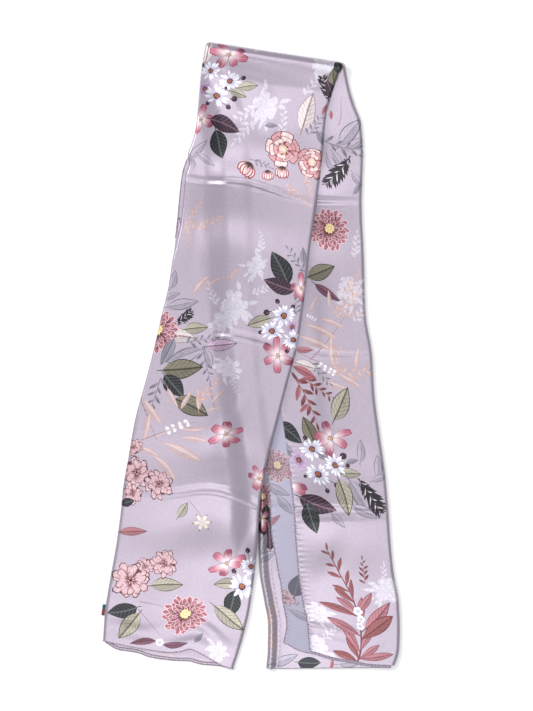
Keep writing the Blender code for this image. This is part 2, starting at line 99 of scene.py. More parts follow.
# The same for the lower half.
UNDER_ROWS = (
    (21.8, -453.4, 207.6, -451.6),
    (24.2, -426.2, 214.9, -426.2),
    (24.7, -389.9, 216.0, -395.7),
    (18.9, -353.6, 214.5, -356.5),
    (12.2, -310.0, 206.9, -312.9),
    (10.9, -266.4, 202.6, -270.8),
    (11.6, -212.7, 199.2, -222.2),
    (7.3, -164.8, 194.6, -170.6),
    (-0.7, -106.7, 186.6, -112.5),
    (-8.7, -48.6, 179.0, -53.0),
    (-13.8, 9.4, 175.7, 2.2),
    (-18.2, 67.5, 166.3, 63.2),
    (-21.8, 147.4, 163.8, 144.5),
    (-24.7, 227.2, 160.6, 221.4),
    (-27.6, 299.8, 162.6, 294.0),
    (-33.4, 346.3, 159.7, 337.0),
    (-43.6, 379.7, 149.6, 366.0),
    (-55.2, 413.1, 142.3, 391.0),
    (-64.5, 446.5, 137.5, 415.5),
)

# The lower half's two free long hems: distance from the open end, and from the left-hand fold.
# along, hem of layer 1, hem of layer 2
FREE_HEM_ROWS = (
    (0.0, 61.0, 22.0),
    (30.0, 58.0, 26.5),
    (80.0, 55.5, 26.5),
    (120.0, 56.0, 28.0),
    (155.0, 55.5, 25.0),
    (200.0, 52.5, 18.0),
    (270.0, 48.0, 15.0),
    (900.0, 46.0, 15.0),
)
FREE_HEM_RUN = 300.0

# How far each open end stops short of its last section, across the panel (0 left, 1 right).
# across, upper half's top layer, upper half's hidden layers, lower half's layers 1 and 2
END_ROWS = (
    (0.0, 0.0, 0.0, 42.0),
    (0.13, 0.0, -8.0, 36.0),
    (0.26, 0.5, -6.5, 25.0),
    (0.38, 1.5, -9.0, 20.0),
    (0.50, 3.5, -7.5, 13.0),
    (0.58, 7.5, -5.5, 10.0),
    (0.67, 14.5, -2.5, 7.5),
    (0.75, 11.0, -3.5, 4.0),
    (0.84, 5.5, -1.5, 1.5),
    (0.92, 1.0, 0.0, 0.5),
    (1.0, 0.0, 0.0, 0.0),
)
OVER_END, HIDDEN_END, UNDER_END = 1, 2, 3   # columns of that table

# The hidden layers peep out of the upper half's left edge: distance from the open end, reach.
SIDE_ROWS = (
    (0.0, 0.0), (560.0, 0.0), (590.0, 3.0), (625.0, 6.5), (665.0, 7.0),
    (690.0, 6.0), (705.0, 7.0), (730.0, 0.0), (900.0, 0.0),
)
SIDE_HEM = (600.0, 718.0)

# From the lower half's left-hand fold into the panel: distance, share of the base's thickness.
VALLEY_ROWS = ((9.5, 1.35), (12.0, 0.9), (15.0, 0.7), (19.0, 0.88), (24.0, 1.0))

# ---------------------------------------------------------------- sizes of the cloth's own detail
FLAT_WIDTH = 196.0          # one quarter of the folded scarf, laid out
FOLD_ARC = 6.6              # cloth from a fold's outermost line to where it is level
GRID = 3.2                  # spacing of the cloth's points
TURN_LENGTH = 28.4          # cloth round the turn

# Creases across: distance from the open end, depth, half width, ridge beside it, its offset,
# the cloth's broad swell on both sides, and how far the crease arches, about which part across.
OVER_CREASES = (
    (229.0, 1.3, 5.0, 0.45, -7.0, 0.9, 19.0, 0.70),
    (470.0, 1.0, 4.0, 0.40, -6.0, 0.2, 9.0, 0.70),
    (685.0, 0.9, 3.4, 0.38, -5.5, 1.1, 9.5, 0.50),
)
UNDER_CREASES = (
    (231.0, 1.2, 5.0, 0.30, 6.0, 0.7, 1.5, 0.60),
    (460.0, 0.8, 3.6, 0.35, -5.0, 0.2, 1.5, 0.40),
    (683.0, 0.8, 3.6, 0.25, -5.0, 0.8, 1.0, 0.50),
)
PUCKER_STEP = 8.0           # along a hem
PUCKER_HEIGHT = 0.38
PUCKER_REACH = 4.5
ARCH_REACH = 0.24           # half width of a crease's arch, as a part of the cloth's width
SWELL_HALF = 55.0           # from a swell's crest to its trough
SWELL_FADE = 75.0

# Soft ridges (+) and hollows (-) of the cloth, placed by the photograph.
# photo_x, photo_y, turn in degrees, half length, half width, height: the last three in millimetres
OVER_WAVES = (
    (198, 236, 86, 45, 7.0, -1.5),
    (266, 108, 80, 22, 9.0, -1.1),
    (186, 220, 84, 50, 4.0, 0.5),
    (250, 66, -8, 60, 9.0, -0.9),
    (300, 118, 75, 30, 10.0, 0.4),
    (230, 205, 80, 45, 14.0, 0.5),
    (285, 240, 78, 60, 9.0, -0.5),
    (180, 300, 75, 60, 6.0, -0.5),
    (215, 420, 60, 50, 12.0, 0.5),
    (160, 400, 78, 70, 7.0, 0.5),
    (250, 395, 72, 45, 9.0, -0.6),
    (225, 470, 5, 55, 10.0, 0.35),
    (150, 560, 80, 60, 10.0, -0.45),
    (205, 560, 70, 50, 12.0, 0.4),
    (240, 555, 80, 60, 5.0, 0.5),
    (130, 630, -10, 30, 8.0, -0.7),
    (185, 640, -8, 35, 7.0, 0.5),
    (215, 640, -30, 25, 7.0, -0.6),
)
UNDER_WAVES = (
    (330, 150, 80, 50, 9.0, -0.7),
    (348, 110, 75, 25, 6.0, 0.5),
    (345, 235, 88, 60, 8.0, 0.45),
    (352, 330, 85, 45, 9.0, -0.5),
    (340, 420, 80, 60, 10.0, 0.4),
    (372, 440, 82, 60, 6.0, 0.45),
    (345, 515, 2, 60, 5.0, -0.6),
    (335, 560, 60, 45, 12.0, 0.35),
    (380, 580, 84, 60, 7.0, -0.4),
    (330, 640, 5, 45, 8.0, 0.45),
    (385, 650, 60, 16, 6.0, -0.6),
)

# ---------------------------------------------------------------- the photograph's frame
PIXEL = 1.452               # millimetres of the scarf to a pixel of the photograph
PHOTO_SIZE = (533, 711)
OUTLINE_MIDDLE = (251.0, 356.5)     # pixel at the middle of the outline


def from_photo(photo_x, photo_y):
    """A pixel of the photograph, as a place in plan in millimetres."""
    x = (photo_x - OUTLINE_MIDDLE[0]) * PIXEL + PLAN_SHIFT[0]
    y = (OUTLINE_MIDDLE[1] - photo_y) * PIXEL + PLAN_SHIFT[1]
    return x, y


# ---------------------------------------------------------------- curves through tables
def ease(edge0, edge1, value):
    t = np.clip((value - edge0) / (edge1 - edge0), 0.0, 1.0)
    return t * t * (3.0 - 2.0 * t)


def bell(value, half_width):
    """1 at zero, falling softly to 0 at twice the half width."""
    t = np.minimum(1.0, np.abs(value) / (2.0 * half_width))
    return (1.0 - t * t) ** 2


def through(keys, values, at):
    """A smooth curve through the values that doesn't swing past them."""
    keys = np.asarray(keys, float)
    values = np.asarray(values, float)
    rise = np.diff(values) / np.diff(keys)
    before, after = rise[:-1], rise[1:]
    same = before * after > 0.0
    total = np.where(same, before + after, 1.0)
    slopes = np.concatenate([rise[:1], np.where(same, 2.0 * before * after / total, 0.0), rise[-1:]])
    at = np.clip(at, keys[0], keys[-1])
    i = np.clip(np.searchsorted(keys, at, side="right") - 1, 0, len(keys) - 2)
    span = keys[i + 1] - keys[i]
    t = (at - keys[i]) / span
    start = (1.0 + 2.0 * t) * (1.0 - t) ** 2 * values[i] + t * (1.0 - t) ** 2 * span * slopes[i]
    end = t * t * (3.0 - 2.0 * t) * values[i + 1] + t * t * (t - 1.0) * span * slopes[i + 1]
    return start + end


def look_up(rows, index, at):
    return through([row[0] for row in rows], [row[index] for row in rows], at)


class Half:
    """One half of the scarf in plan: sections from its open end to the turn."""

    def __init__(self, rows):
        self.table = np.array(rows)
        self.table[:, 0::2] += PLAN_SHIFT[0]
        self.table[:, 1::2] += PLAN_SHIFT[1]
        middle = (self.table[:, :2] + self.table[:, 2:]) / 2.0
        self.along = np.concatenate([[0.0], np.cumsum(np.hypot(*np.diff(middle, axis=0).T))])
        self.length = self.along[-1]

    def section(self, along):
        """Both edges at a distance from the open end, the width there and the way forward."""
        inside = np.clip(along, 0.0, self.length)
        left_x, left_y, right_x, right_y = (through(self.along, self.table[:, i], inside) for i in range(4))
        width = np.hypot(right_x - left_x, right_y - left_y)
        forward = (-(right_y - left_y) / width, (right_x - left_x) / width)
        beyond = along - inside
        left = (left_x + forward[0] * beyond, left_y + forward[1] * beyond)
        right = (right_x + forward[0] * beyond, right_y + forward[1] * beyond)
        return left, right, width, forward

    def plan(self, across, along):
        left, right, width, _ = self.section(along)
        part = across / width
        return left[0] + (right[0] - left[0]) * part, left[1] + (right[1] - left[1]) * part

    def place(self, x, y):
        """Across and along of a place in plan, and the direction of its section."""
        grid = np.arange(-10.0, self.length + 10.0, 1.0)
        left, _, _, forward = self.section(grid)
        ahead = (x - left[0]) * forward[0] + (y - left[1]) * forward[1]
        along = float(np.interp(0.0, -ahead, grid))
        left, _, _, forward = self.section(along)
        across = (x - left[0]) * forward[1] - (y - left[1]) * forward[0]
        return float(across), along, math.atan2(-forward[0], forward[1])


over = Half(OVER_ROWS)
under = Half(UNDER_ROWS)


def end_shift(layer, part, along):
    """How far an open end stops short here; it fades out along the cloth."""
    shift = look_up(END_ROWS, layer, part)
    return shift * (1.0 - ease(0.0, END_RUN, along))


# ---------------------------------------------------------------- relief of the cloth
def wave_rows(half, rows):
    """The waves in the cloth's own measures: across, along, direction, sizes."""
    placed = []
    for photo_x, photo_y, turn, half_length, half_width, height in rows:
        across, along, direction = half.place(*from_photo(photo_x, photo_y))
        placed.append((across, along, math.radians(turn) - direction, half_length, half_width, height))
    return placed


over_waves = wave_rows(over, OVER_WAVES)
under_waves = wave_rows(under, UNDER_WAVES)


def relief(across, along, width, creases, waves):
    """Height of creases, waves and the silk's own faint unevenness, in millimetres."""
    part = np.clip(across / width, 0.0, 1.0)
    fade = np.sin(np.pi * part) ** 0.4
    height = 0.0
    for number, (start, depth, half_width, ridge, offset, swell, arch, peak) in enumerate(creases):
        wander = arch * bell(part - peak, ARCH_REACH) + 0.7 * np.sin(part * 13.0 + number)
        away = along - start - wander
        uneven = 0.75 + 0.25 * np.sin(part * 7.0 + number * 1.7 + 1.0)
        height = height - depth * uneven * bell(away, half_width)
        height = height + ridge * uneven * bell(away - offset, 2.4)
        height = height + swell * np.cos(np.pi * away / SWELL_HALF) * bell(away, SWELL_FADE)
    for wave_across, wave_along, turn, half_length, half_width, rise in waves:
        x, y = across - wave_across, along - wave_along
        lengthwise = x * math.cos(turn) + y * math.sin(turn)
        sideways = -x * math.sin(turn) + y * math.cos(turn)
        sideways = sideways + 0.12 * half_width * np.sin(lengthwise / half_length * 3.0)
        height = height + rise * bell(lengthwise, half_length) * bell(sideways, half_width)
    faint = 0.10 * np.sin(across / 9.5 + 1.3 * np.sin(along / 47.0)) * np.sin(along / 38.0 + 1.0)
    faint = faint + 0.07 * np.sin(across / 17.0 - along / 29.0 + 0.8 * np.sin(along / 61.0))
    return (height + faint) * fade


# ---------------------------------------------------------------- the upper half's form
TURN_FLOOR = THICK_UNDER + TUNNEL_HEIGHT
TURN_INSIDE = (TURN_FLOOR - THICK_OVER) / 2.0
TURN_AXIS = TURN_INSIDE + THICK_OVER
TURN_CALM = 12.0            # the relief fades over this stretch before the turn


def over_floor(x, y, along):
    """Underside of the upper half: on the surface, or risen over the lower half and the hollow."""
    inside = x - through(under.table[:, 1], under.table[:, 0], y)
    puff = 0.5 * FOLD_PUFF * (1.0 - ease(2.0 * PUFF_REACH, 5.0 * PUFF_REACH, inside))
    rise = ease(*LIFT_SIDE, inside) * ease(*LIFT_ALONG, y) * (THICK_UNDER + LIFT_GAP + puff)
    turn = ease(over.length - TUNNEL_RUN, over.length - FOLD_REACH, along)
    return rise * (1.0 - turn) + TURN_FLOOR * turn


def over_flatten(along):
    end = THICK_OVER_END / THICK_OVER
    return end + (1.0 - end) * ease(*FLAT_END, along)


def over_place(across, height, along, layer):
    """Place of a point of the upper half: height is above its underside, all in millimetres."""
    width = over.section(np.minimum(along, over.length))[2]
    bumps = relief(across, along, width, OVER_CREASES, over_waves) * height / THICK_OVER
    bumps = bumps * (1.0 - 0.8 * ease(over.length - TURN_CALM, over.length, along))
    moved = along + end_shift(layer, np.clip(across / width, 0.0, 1.0), along)
    x, y = over.plan(across, np.minimum(moved, over.length))
    z = over_floor(x, y, moved) + height * over_flatten(moved) + bumps
    part = np.clip((along - over.length) / TURN_LENGTH, 0.0, 1.0)
    angle = np.radians(90.0 - 180.0 * part)
    upper = over.section(over.length)
    lower = under.section(under.length)
    ends = [a + (b - a) * part for a, b in zip((*upper[0], *upper[1]), (*lower[0], *lower[1]))]
    share = across / upper[2]
    reach = (TURN_INSIDE + height + bumps) * np.cos(angle)
    turn_x = ends[0] + (ends[2] - ends[0]) * share + upper[3][0] * reach
    turn_y = ends[1] + (ends[3] - ends[1]) * share + upper[3][1] * reach
    turn_z = TURN_AXIS + (TURN_INSIDE + height + bumps) * np.sin(angle)
    round_turn = along > over.length
    return np.stack([np.where(round_turn, turn_x, x), np.where(round_turn, turn_y, y),
                     np.where(round_turn, turn_z, z)], axis=-1)


def side_inset(along):
    return look_up(SIDE_ROWS, 1, along)


def over_surface(u, along):
    """The upper half's top layer: u runs across the cloth from the left fold's outermost line."""
    width = over.section(np.minimum(along, over.length))[2]
    inset = side_inset(along)
    left_angle = np.radians(np.clip(u / FOLD_ARC, -1.0, 1.0) * 90.0)
    right_angle = np.radians(np.clip((FLAT_WIDTH - u) / FOLD_ARC, -1.0, 1.0) * 90.0)
    level = FOLD_REACH + (u - FOLD_ARC) / (FLAT_WIDTH - 2.0 * FOLD_ARC) * (width - inset - 2.0 * FOLD_REACH)
    left = FOLD_REACH * (1.0 - np.cos(left_angle))
    right = width - inset - FOLD_REACH * (1.0 - np.cos(right_angle))
    across = inset + np.where(u < FOLD_ARC, left, np.where(u > FLAT_WIDTH - FOLD_ARC, right, level))
    angle = np.minimum(left_angle, right_angle)
    return over_place(across, THICK_OVER / 2.0 * (1.0 + np.sin(angle)), along, OVER_END)


# ---------------------------------------------------------------- the lower half's form
def under_place(across, height, along, shifted):
    width = under.section(along)[2]
    bumps = relief(across, along, width, UNDER_CREASES, under_waves) * height / THICK_UNDER
    moved = along
    if shifted:
        moved = along + end_shift(UNDER_END, np.clip(across / width, 0.0, 1.0), along)
    x, y = under.plan(across, moved)
    return np.stack([x, y, height + bumps], axis=-1)


def base_height(across):
    keys = [PUFF_REACH] + [row[0] for row in VALLEY_ROWS]
    heights = [THICK_BASE + FOLD_PUFF] + [row[1] * THICK_BASE for row in VALLEY_ROWS]
    return through(keys, heights, across)


def puckered(place, away, along):
    """The place with the small puckers that a hem's stitches pull into the cloth beside it."""
    turns = 2.0 * np.pi * along / PUCKER_STEP + 1.1 * np.sin(along / 23.0)
    rise = PUCKER_HEIGHT * np.sin(turns) * np.exp(-np.maximum(away, 0.0) / PUCKER_REACH)
    return place + rise[..., None] * np.array([0.0, 0.0, 1.0])


def under_surface(u, along):
    """Layer 1: level, then round the right-hand fold."""
    width = under.section(along)[2]
    angle = np.radians(np.clip((FLAT_WIDTH - u) / FOLD_ARC, -1.0, 1.0) * 90.0)
    level = u / (FLAT_WIDTH - FOLD_ARC) * (width - FOLD_REACH)
    across = np.where(u > FLAT_WIDTH - FOLD_ARC, width - FOLD_REACH * (1.0 - np.cos(angle)), level)
    place = under_place(across, THICK_UNDER / 2.0 * (1.0 + np.sin(angle)), along, True)
    return puckered(place, across - free_hem(1, along), along)


def inner_surface(u, along):
    """Layer 2, reverse side up."""
    width = under.section(along)[2]
    across = u / (FLAT_WIDTH - FOLD_ARC) * (width - FOLD_REACH)
    place = under_place(across, base_height(across) + LAYER_STEP, along, True)
    return puckered(place, across - free_hem(2, along), along)


def fold_surface(u, along):
    """Layers 3 and 4 round the left-hand fold: u is 0 at its outermost line."""
    angle = np.radians(np.clip(u / PUFF_ARC, -1.0, 1.0) * 90.0)
    across = np.where(u < PUFF_ARC, PUFF_REACH * (1.0 - np.cos(angle)), PUFF_REACH + u - PUFF_ARC)
    top = THICK_BASE + FOLD_PUFF
    height = np.where(u < PUFF_ARC, top / 2.0 * (1.0 + np.sin(angle)), base_height(across))
    return under_place(across, height, along, False)


def free_hem(index, along):
    return look_up(FREE_HEM_ROWS, index, along)


# ---------------------------------------------------------------- colours
EXPOSURE = 1.42             # how much brighter a plain colour renders on the lit table


def ink(red, green, blue):
    """A colour as the photograph shows it in full light, as linear reflectance."""
    values = np.array([red, green, blue]) / 255.0
    linear = np.where(values <= 0.04045, values / 12.92, ((values + 0.055) / 1.055) ** 2.4)
    return tuple(linear / EXPOSURE)


GROUND = ink(184, 172, 188)
WHITE = ink(248, 246, 252)
WHITE_SHADE = ink(186, 182, 208)
GHOST = ink(204, 196, 210)
GHOST_LIGHT = ink(216, 210, 221)
VIOLET = ink(206, 180, 212)
VIOLET_SHADE = ink(150, 118, 158)
PINK_PALE = ink(244, 222, 228)
PINK = ink(204, 122, 142)
ROSE = ink(180, 94, 120)
WINE = ink(142, 62, 90)
CREAM_PINK = ink(240, 216, 216)
BRICK = ink(150, 62, 70)
RUST = ink(172, 108, 120)
RUST_DARK = ink(118, 50, 60)
RUST_PALE = ink(216, 164, 168)
DAHLIA_DEEP = ink(92, 34, 50)
PALE_EDGE = ink(232, 202, 210)
MAUVE_LIGHT = ink(218, 184, 192)
MAUVE_BROWN = ink(132, 82, 84)
MAUVE_MID = ink(178, 134, 140)
BROWN_DARK = ink(58, 34, 40)
OCHRE = ink(214, 160, 84)
OCHRE_LIGHT = ink(246, 224, 160)
CREAM = ink(240, 230, 204)
ORANGE_BROWN = ink(180, 100, 72)
PLUM = ink(48, 30, 46)
PLUM_LIGHT = ink(122, 92, 112)
PLUM_LEAF = ink(122, 78, 98)
BLACK_GREEN = ink(32, 33, 41)
GREEN_GREY = ink(92, 96, 96)
SAGE = ink(174, 168, 154)
SAGE_DARK = ink(84, 78, 66)
OLIVE = ink(126, 121, 104)
OLIVE_DARK = ink(58, 54, 44)
STONE = ink(216, 206, 208)
STONE_DARK = ink(150, 124, 124)
PENCIL = ink(104, 98, 112)
PENCIL_FILL = ink(174, 164, 180)
GREY_LEAF = ink(146, 142, 156)
PEACH = ink(224, 190, 180)
PEACH_DARK = ink(206, 162, 148)
PEACH_FILL = ink(196, 180, 188)
TERRACOTTA = ink(146, 88, 90)
TERRACOTTA_DARK = ink(108, 46, 52)
DUSTY_ROSE = ink(174, 118, 128)
DUSTY_DARK = ink(112, 54, 66)
MAUVE_LEAF = ink(206, 176, 204)
STALK = ink(158, 128, 132)
HEM = ink(196, 180, 196)
HEM_SHADE = ink(116, 100, 118)
STITCH_GREY = ink(66, 58, 70)
STITCH_PINK = ink(130, 66, 86)
REVERSE = ink(190, 186, 208)
STRIP = ink(176, 162, 180)
TEAL = ink(24, 110, 116)
LABEL_RED = ink(150, 60, 66)

# How a patch is painted, read by printed_colour.
PLAIN, PETAL, LEAF, SOFT, SPECKLE = 0.0, 1.0, 2.0, 3.0, 4.0


# ---------------------------------------------------------------- drawing flowers and leaves
class Shape:
    """One printed patch: its outline, and the axis that its shading runs along."""

    def __init__(self, points, base, tip, kind, length=1.0, half=1.0, bend=0.0):
        self.points = np.asarray(points, float)
        self.base, self.tip, self.kind = base, tip, kind
        self.start = np.zeros(2)
        self.axis = np.array([length, 0.0])
        self.side = np.array([0.0, half])
        self.bend = bend

    def moved(self, shift=(0.0, 0.0), turn=0.0, squash=1.0):
        """A copy that is squashed across its own x, then turned and shifted."""
        c, s = math.cos(turn), math.sin(turn)
        matrix = np.array([[c, -s * squash], [s, c * squash]])
        copy = Shape([], self.base, self.tip, self.kind)
        copy.points = self.points @ matrix.T + shift
        copy.start = matrix @ self.start + shift
        copy.axis = matrix @ self.axis
        copy.side = matrix @ self.side
        copy.bend = self.bend
        return copy


def moved_all(shapes, shift=(0.0, 0.0), turn=0.0, squash=1.0):
    return [shape.moved(shift, turn, squash) for shape in shapes]


def blade(length, half, base, tip, kind, middle=0.5, sharp=1.0, bend=0.0, root=0.0, notch=0.0, steps=6):
    """A petal or leaf along +x: middle is where it is widest, sharp how pointed its ends are."""
    power = math.log(0.5) / math.log(middle)
    t = np.linspace(0.0, 1.0, steps + 1)
    wide = half * np.maximum(np.sin(np.pi * t ** power), 0.0) ** sharp
    wide = np.maximum(wide, half * root * (1.0 - t))
    centre = bend * length * t * t
    upper = np.stack([t * length, centre + wide], axis=1)
    lower = np.stack([t * length, centre - wide], axis=1)[::-1]
    if notch:
        upper[-1, 0] -= notch * length
        upper[-2, 0] += notch * length * 0.45
        lower[1, 0] += notch * length * 0.45
    outline = np.concatenate([upper, lower[1:-1]])
    if root:
        outline = np.concatenate([outline, lower[-1:]])
    return Shape(outline, base, tip, kind, length, half, bend * length / half)


def rimmed(length, half, rim, base, tip, kind, thin, **form):
    """A petal with a line of another colour round it."""
    outer = blade(length, half, rim, rim, PLAIN, **form)
    inner = blade(length * (0.5 + 0.5 * thin), half * thin, base, tip, kind, **form)
    return [outer, inner.moved((length * 0.02, 0.0))]


def disc(radius, colour, tip, kind, sides, rough, draw):
    turns = np.linspace(0.0, 2.0 * np.pi, sides, endpoint=False)
    wobble = np.array([1.0 + rough * draw.uniform(-1.0, 1.0) for turn in turns])
    points = np.stack([np.cos(turns) * radius * wobble, np.sin(turns) * radius * wobble], axis=1)
    return Shape(points, colour, tip, kind, radius, radius)


def ring(count, inner, make, draw, jitter, first=0.0):
    """Petals round a centre; make(k) gives one that starts at the origin."""
    shapes = []
    order = list(range(0, count, 2)) + list(range(1, count, 2))
    for k in order:
        turn = first + 2.0 * math.pi * (k + draw.uniform(-jitter, jitter)) / count
        start = (inner * math.cos(turn), inner * math.sin(turn))
        shapes += moved_all(make(k), start, turn)
    return shapes


def dots(count, radius, size, colour, draw):
    """Small dots scattered round a centre."""
    shapes = []
    for k in range(count):
        turn = 2.0 * math.pi * (k + draw.uniform(-0.3, 0.3)) / count
        far = radius * draw.uniform(0.5, 1.125)
        dot = disc(size * draw.uniform(0.7, 1.3), colour, colour, PLAIN, 5, 0.1, draw)
        shapes.append(dot.moved((far * math.cos(turn), far * math.sin(turn))))
    return shapes


def rays(count, inner, outer, thick, colour, draw):
    """Short thin strokes out from a centre."""
    def make(k):
        long = (outer - inner) * draw.uniform(0.7, 1.1)
        return [blade(long, thick, colour, colour, PLAIN, 0.5, 0.8, steps=3)]

    return ring(count, inner, make, draw, 0.35)


def daisy(size, draw, petal=WHITE, shade=WHITE_SHADE):
    shapes = []

    def make(k):
        long = size * draw.uniform(0.72, 0.98)
        bend = draw.uniform(-0.14, 0.14)
        edge = blade(long, size * 0.125, shade, shade, PETAL, 0.62, 0.7, bend, 0.35, steps=5)
        return [edge, blade(long * 0.97, size * 0.1, shade, petal, PETAL, 0.62, 0.7, bend, 0.35, steps=5)]

    for radius, count, first in ((1.0, 11, 0.0), (0.84, 9, 0.3)):
        shapes += moved_all(ring(count, size * 0.14, make, draw, 0.3, first), squash=radius)
    shapes.append(disc(size * 0.27, PLUM, BROWN_DARK, PLAIN, 11, 0.14, draw))
    shapes.append(disc(size * 0.19, ORANGE_BROWN, RUST_DARK, SPECKLE, 10, 0.15, draw))
    shapes.append(disc(size * 0.065, BROWN_DARK, BROWN_DARK, PLAIN, 6, 0.1, draw))
    shapes += dots(4, size * 0.13, size * 0.03, OCHRE, draw)
    return moved_all(shapes, (0, 0), draw.uniform(0, 6.0), 0.9)


def cosmos(size, draw):
    """Seen a little from the side: long pale petals with deep tips."""
    lengths = [draw.uniform(0.78, 1.12) for k in range(6)]

    def make(k):
        long = size * lengths[k]
        half = size * draw.uniform(0.2, 0.28)
        bend = draw.uniform(-0.2, 0.2)
        deep = (ROSE, WINE, ROSE)[k % 3]
        petal = [blade(long, half, DUSTY_ROSE, WINE, PETAL, 0.64, 0.6, bend, 0.2, 0.07, 9)]
        petal.append(blade(long * 0.95, half * 0.86, PINK_PALE, deep, PETAL, 0.62, 0.6, bend, 0.2, 0.06, 9))
        for shift in (-0.3, 0.28):
            lean = bend * 0.7 + shift * 0.1
            streak = blade(long * 0.7, half * 0.1, WHITE, PINK, PETAL, 0.5, 0.8, lean, steps=4)
            petal.append(streak.moved((0.0, 0.0), shift))
        return petal

    shapes = ring(6, size * 0.04, make, draw, 0.32)
    shapes += rays(9, 0.0, size * 0.2, size * 0.012, MAUVE_BROWN, draw)
    shapes += dots(8, size * 0.17, size * 0.03, BROWN_DARK, draw)
    shapes += dots(6, size * 0.1, size * 0.04, OCHRE, draw)
    return moved_all(shapes, (0, 0), draw.uniform(-0.5, 0.5), 0.76)


def peony(size, draw):
    """A full flower: broad waved petals with brick-red edges round cream stamens."""
    shapes = [disc(size * 0.62, RUST_DARK, BRICK, SOFT, 14, 0.1, draw)]
    for radius, count, half in ((1.0, 7, 0.36), (0.78, 6, 0.33), (0.58, 5, 0.27)):
        def make(k, radius=radius, half=half):
            long = size * radius * draw.uniform(0.88, 1.04)
            bend = draw.uniform(-0.14, 0.14)
            form = dict(middle=0.74, sharp=0.42, bend=bend, root=0.3, notch=0.05, steps=7)
            deep = (BRICK, RUST_DARK, ROSE)[k % 3]
            light = CREAM_PINK if k % 2 else RUST_PALE
            shade = blade(long * 0.62, size * half * 0.45, RUST_DARK, deep, PETAL, 0.5, 0.8,
                          bend * 0.5, steps=4)
            return rimmed(long, size * half, RUST_DARK, deep, light, PETAL, 0.88, **form) + [shade]
        shapes += ring(count, 0.0, make, draw, 0.3, draw.uniform(0, 3))
    shapes.append(disc(size * 0.24, MAUVE_MID, CREAM_PINK, SPECKLE, 9, 0.2, draw))
    shapes += rays(12, 0.02, size * 0.25, size * 0.012, CREAM, draw)
    shapes += dots(12, size * 0.23, size * 0.032, OCHRE_LIGHT, draw)
    shapes += dots(6, size * 0.1, size * 0.035, CREAM, draw)
    return moved_all(shapes, (0, 0), draw.uniform(0, 6.0), 0.92)


def dahlia(size, draw, rim=PALE_EDGE, deep=DAHLIA_DEEP, light=RUST):
    shapes = [disc(size * 0.8, deep, deep, PLAIN, 14, 0.05, draw)]
    rows = ((1.0, 17, 0.135), (0.84, 15, 0.13), (0.68, 12, 0.115), (0.52, 10, 0.1), (0.4, 8, 0.08))
    for radius, count, half in rows:
        def make(k, radius=radius, half=half):
            long = size * radius * draw.uniform(0.92, 1.08) * 0.56
            return rimmed(long, size * half, rim, deep, light, PETAL, 0.82,
                          middle=0.64, sharp=0.75, root=0.3, bend=draw.uniform(-0.2, 0.2), steps=5)
        shapes += ring(count, size * radius * 0.52, make, draw, 0.25, draw.uniform(0, 3))
    core = (size * 0.03, size * 0.07)
    for radius, count in ((0.27, 11), (0.18, 7)):
        def make_yellow(k, radius=radius):
            return [blade(size * radius, size * 0.06, RUST, OCHRE_LIGHT, PETAL, 0.6, 0.7, 0.0, 0.3, steps=4)]
        shapes += moved_all(ring(count, 0.0, make_yellow, draw, 0.25), core)
    shapes.append(disc(size * 0.07, CREAM, OCHRE_LIGHT, SPECKLE, 8, 0.15, draw).moved(core))
    return shapes


def carnation(size, draw):
    """Many narrow waved petals, mauve with brown edges, round a dark star."""
    shapes = [disc(size * 0.74, MAUVE_BROWN, BROWN_DARK, SOFT, 12, 0.15, draw)]
    for radius, count, half in ((1.04, 10, 0.19), (0.84, 9, 0.165), (0.62, 7, 0.14), (0.44, 5, 0.11)):
        def make(k, radius=radius, half=half):
            long = size * radius * draw.uniform(0.86, 1.06)
            if radius < 0.7:
                return [blade(long, size * half, RUST_DARK, MAUVE_LIGHT, PETAL, 0.76, 0.5,
                              0.0, 0.25, 0.06, 5)]
            return rimmed(long, size * half, BROWN_DARK if k % 2 else MAUVE_BROWN, RUST_DARK, MAUVE_LIGHT,
                          PETAL, 0.84, middle=0.72, sharp=0.6, root=0.25, notch=0.06,
                          bend=draw.uniform(-0.3, 0.3), steps=5)
        shapes += ring(count, 0.0, make, draw, 0.35, draw.uniform(0, 3))
    shapes += rays(10, size * 0.05, size * 0.34, size * 0.024, RUST_DARK, draw)
    shapes += rays(6, size * 0.05, size * 0.2, size * 0.025, MAUVE_LIGHT, draw)
    shapes.append(disc(size * 0.07, BROWN_DARK, BROWN_DARK, PLAIN, 7, 0.3, draw))
    return moved_all(shapes, (0, 0), draw.uniform(0, 6.0), 0.88)


def stem(points, thick, colour):
    """A thin line through points, as one narrow patch."""
    points = np.asarray(points, float)
    ahead = np.gradient(points, axis=0)
    side = np.stack([-ahead[:, 1], ahead[:, 0]], axis=1)
    side /= np.linalg.norm(side, axis=1)[:, None]
    taper = np.linspace(1.0, 0.45, len(points))[:, None] * thick / 2.0
    outline = np.concatenate([points + side * taper, (points - side * taper)[::-1]])
    return Shape(outline, colour, colour, PLAIN)


def curve(length, bend, steps=7):
    t = np.linspace(0.0, 1.0, steps)
    return np.stack([t * length, bend * length * t * t], axis=1)


def leaf(size, draw, fill, vein, slim=0.24, rim=None, bow=0.2, inner=0.9):
    """Placed by its middle: a rim, a veined blade and a short stalk."""
    bend = draw.uniform(-bow, bow)
    rim = rim or vein
    edge = blade(size, size * slim, rim, rim, PLAIN, 0.44, 0.9, bend, steps=8)
    face = blade(size * 0.97, size * slim * inner, fill, vein, LEAF, 0.44, 0.9, bend, steps=8)
    parts = [stem(curve(-size * 0.14, bend, 3), size * 0.03, rim), edge, face]
    return moved_all(parts, (-size / 2.0, -bend * size / 4.0))


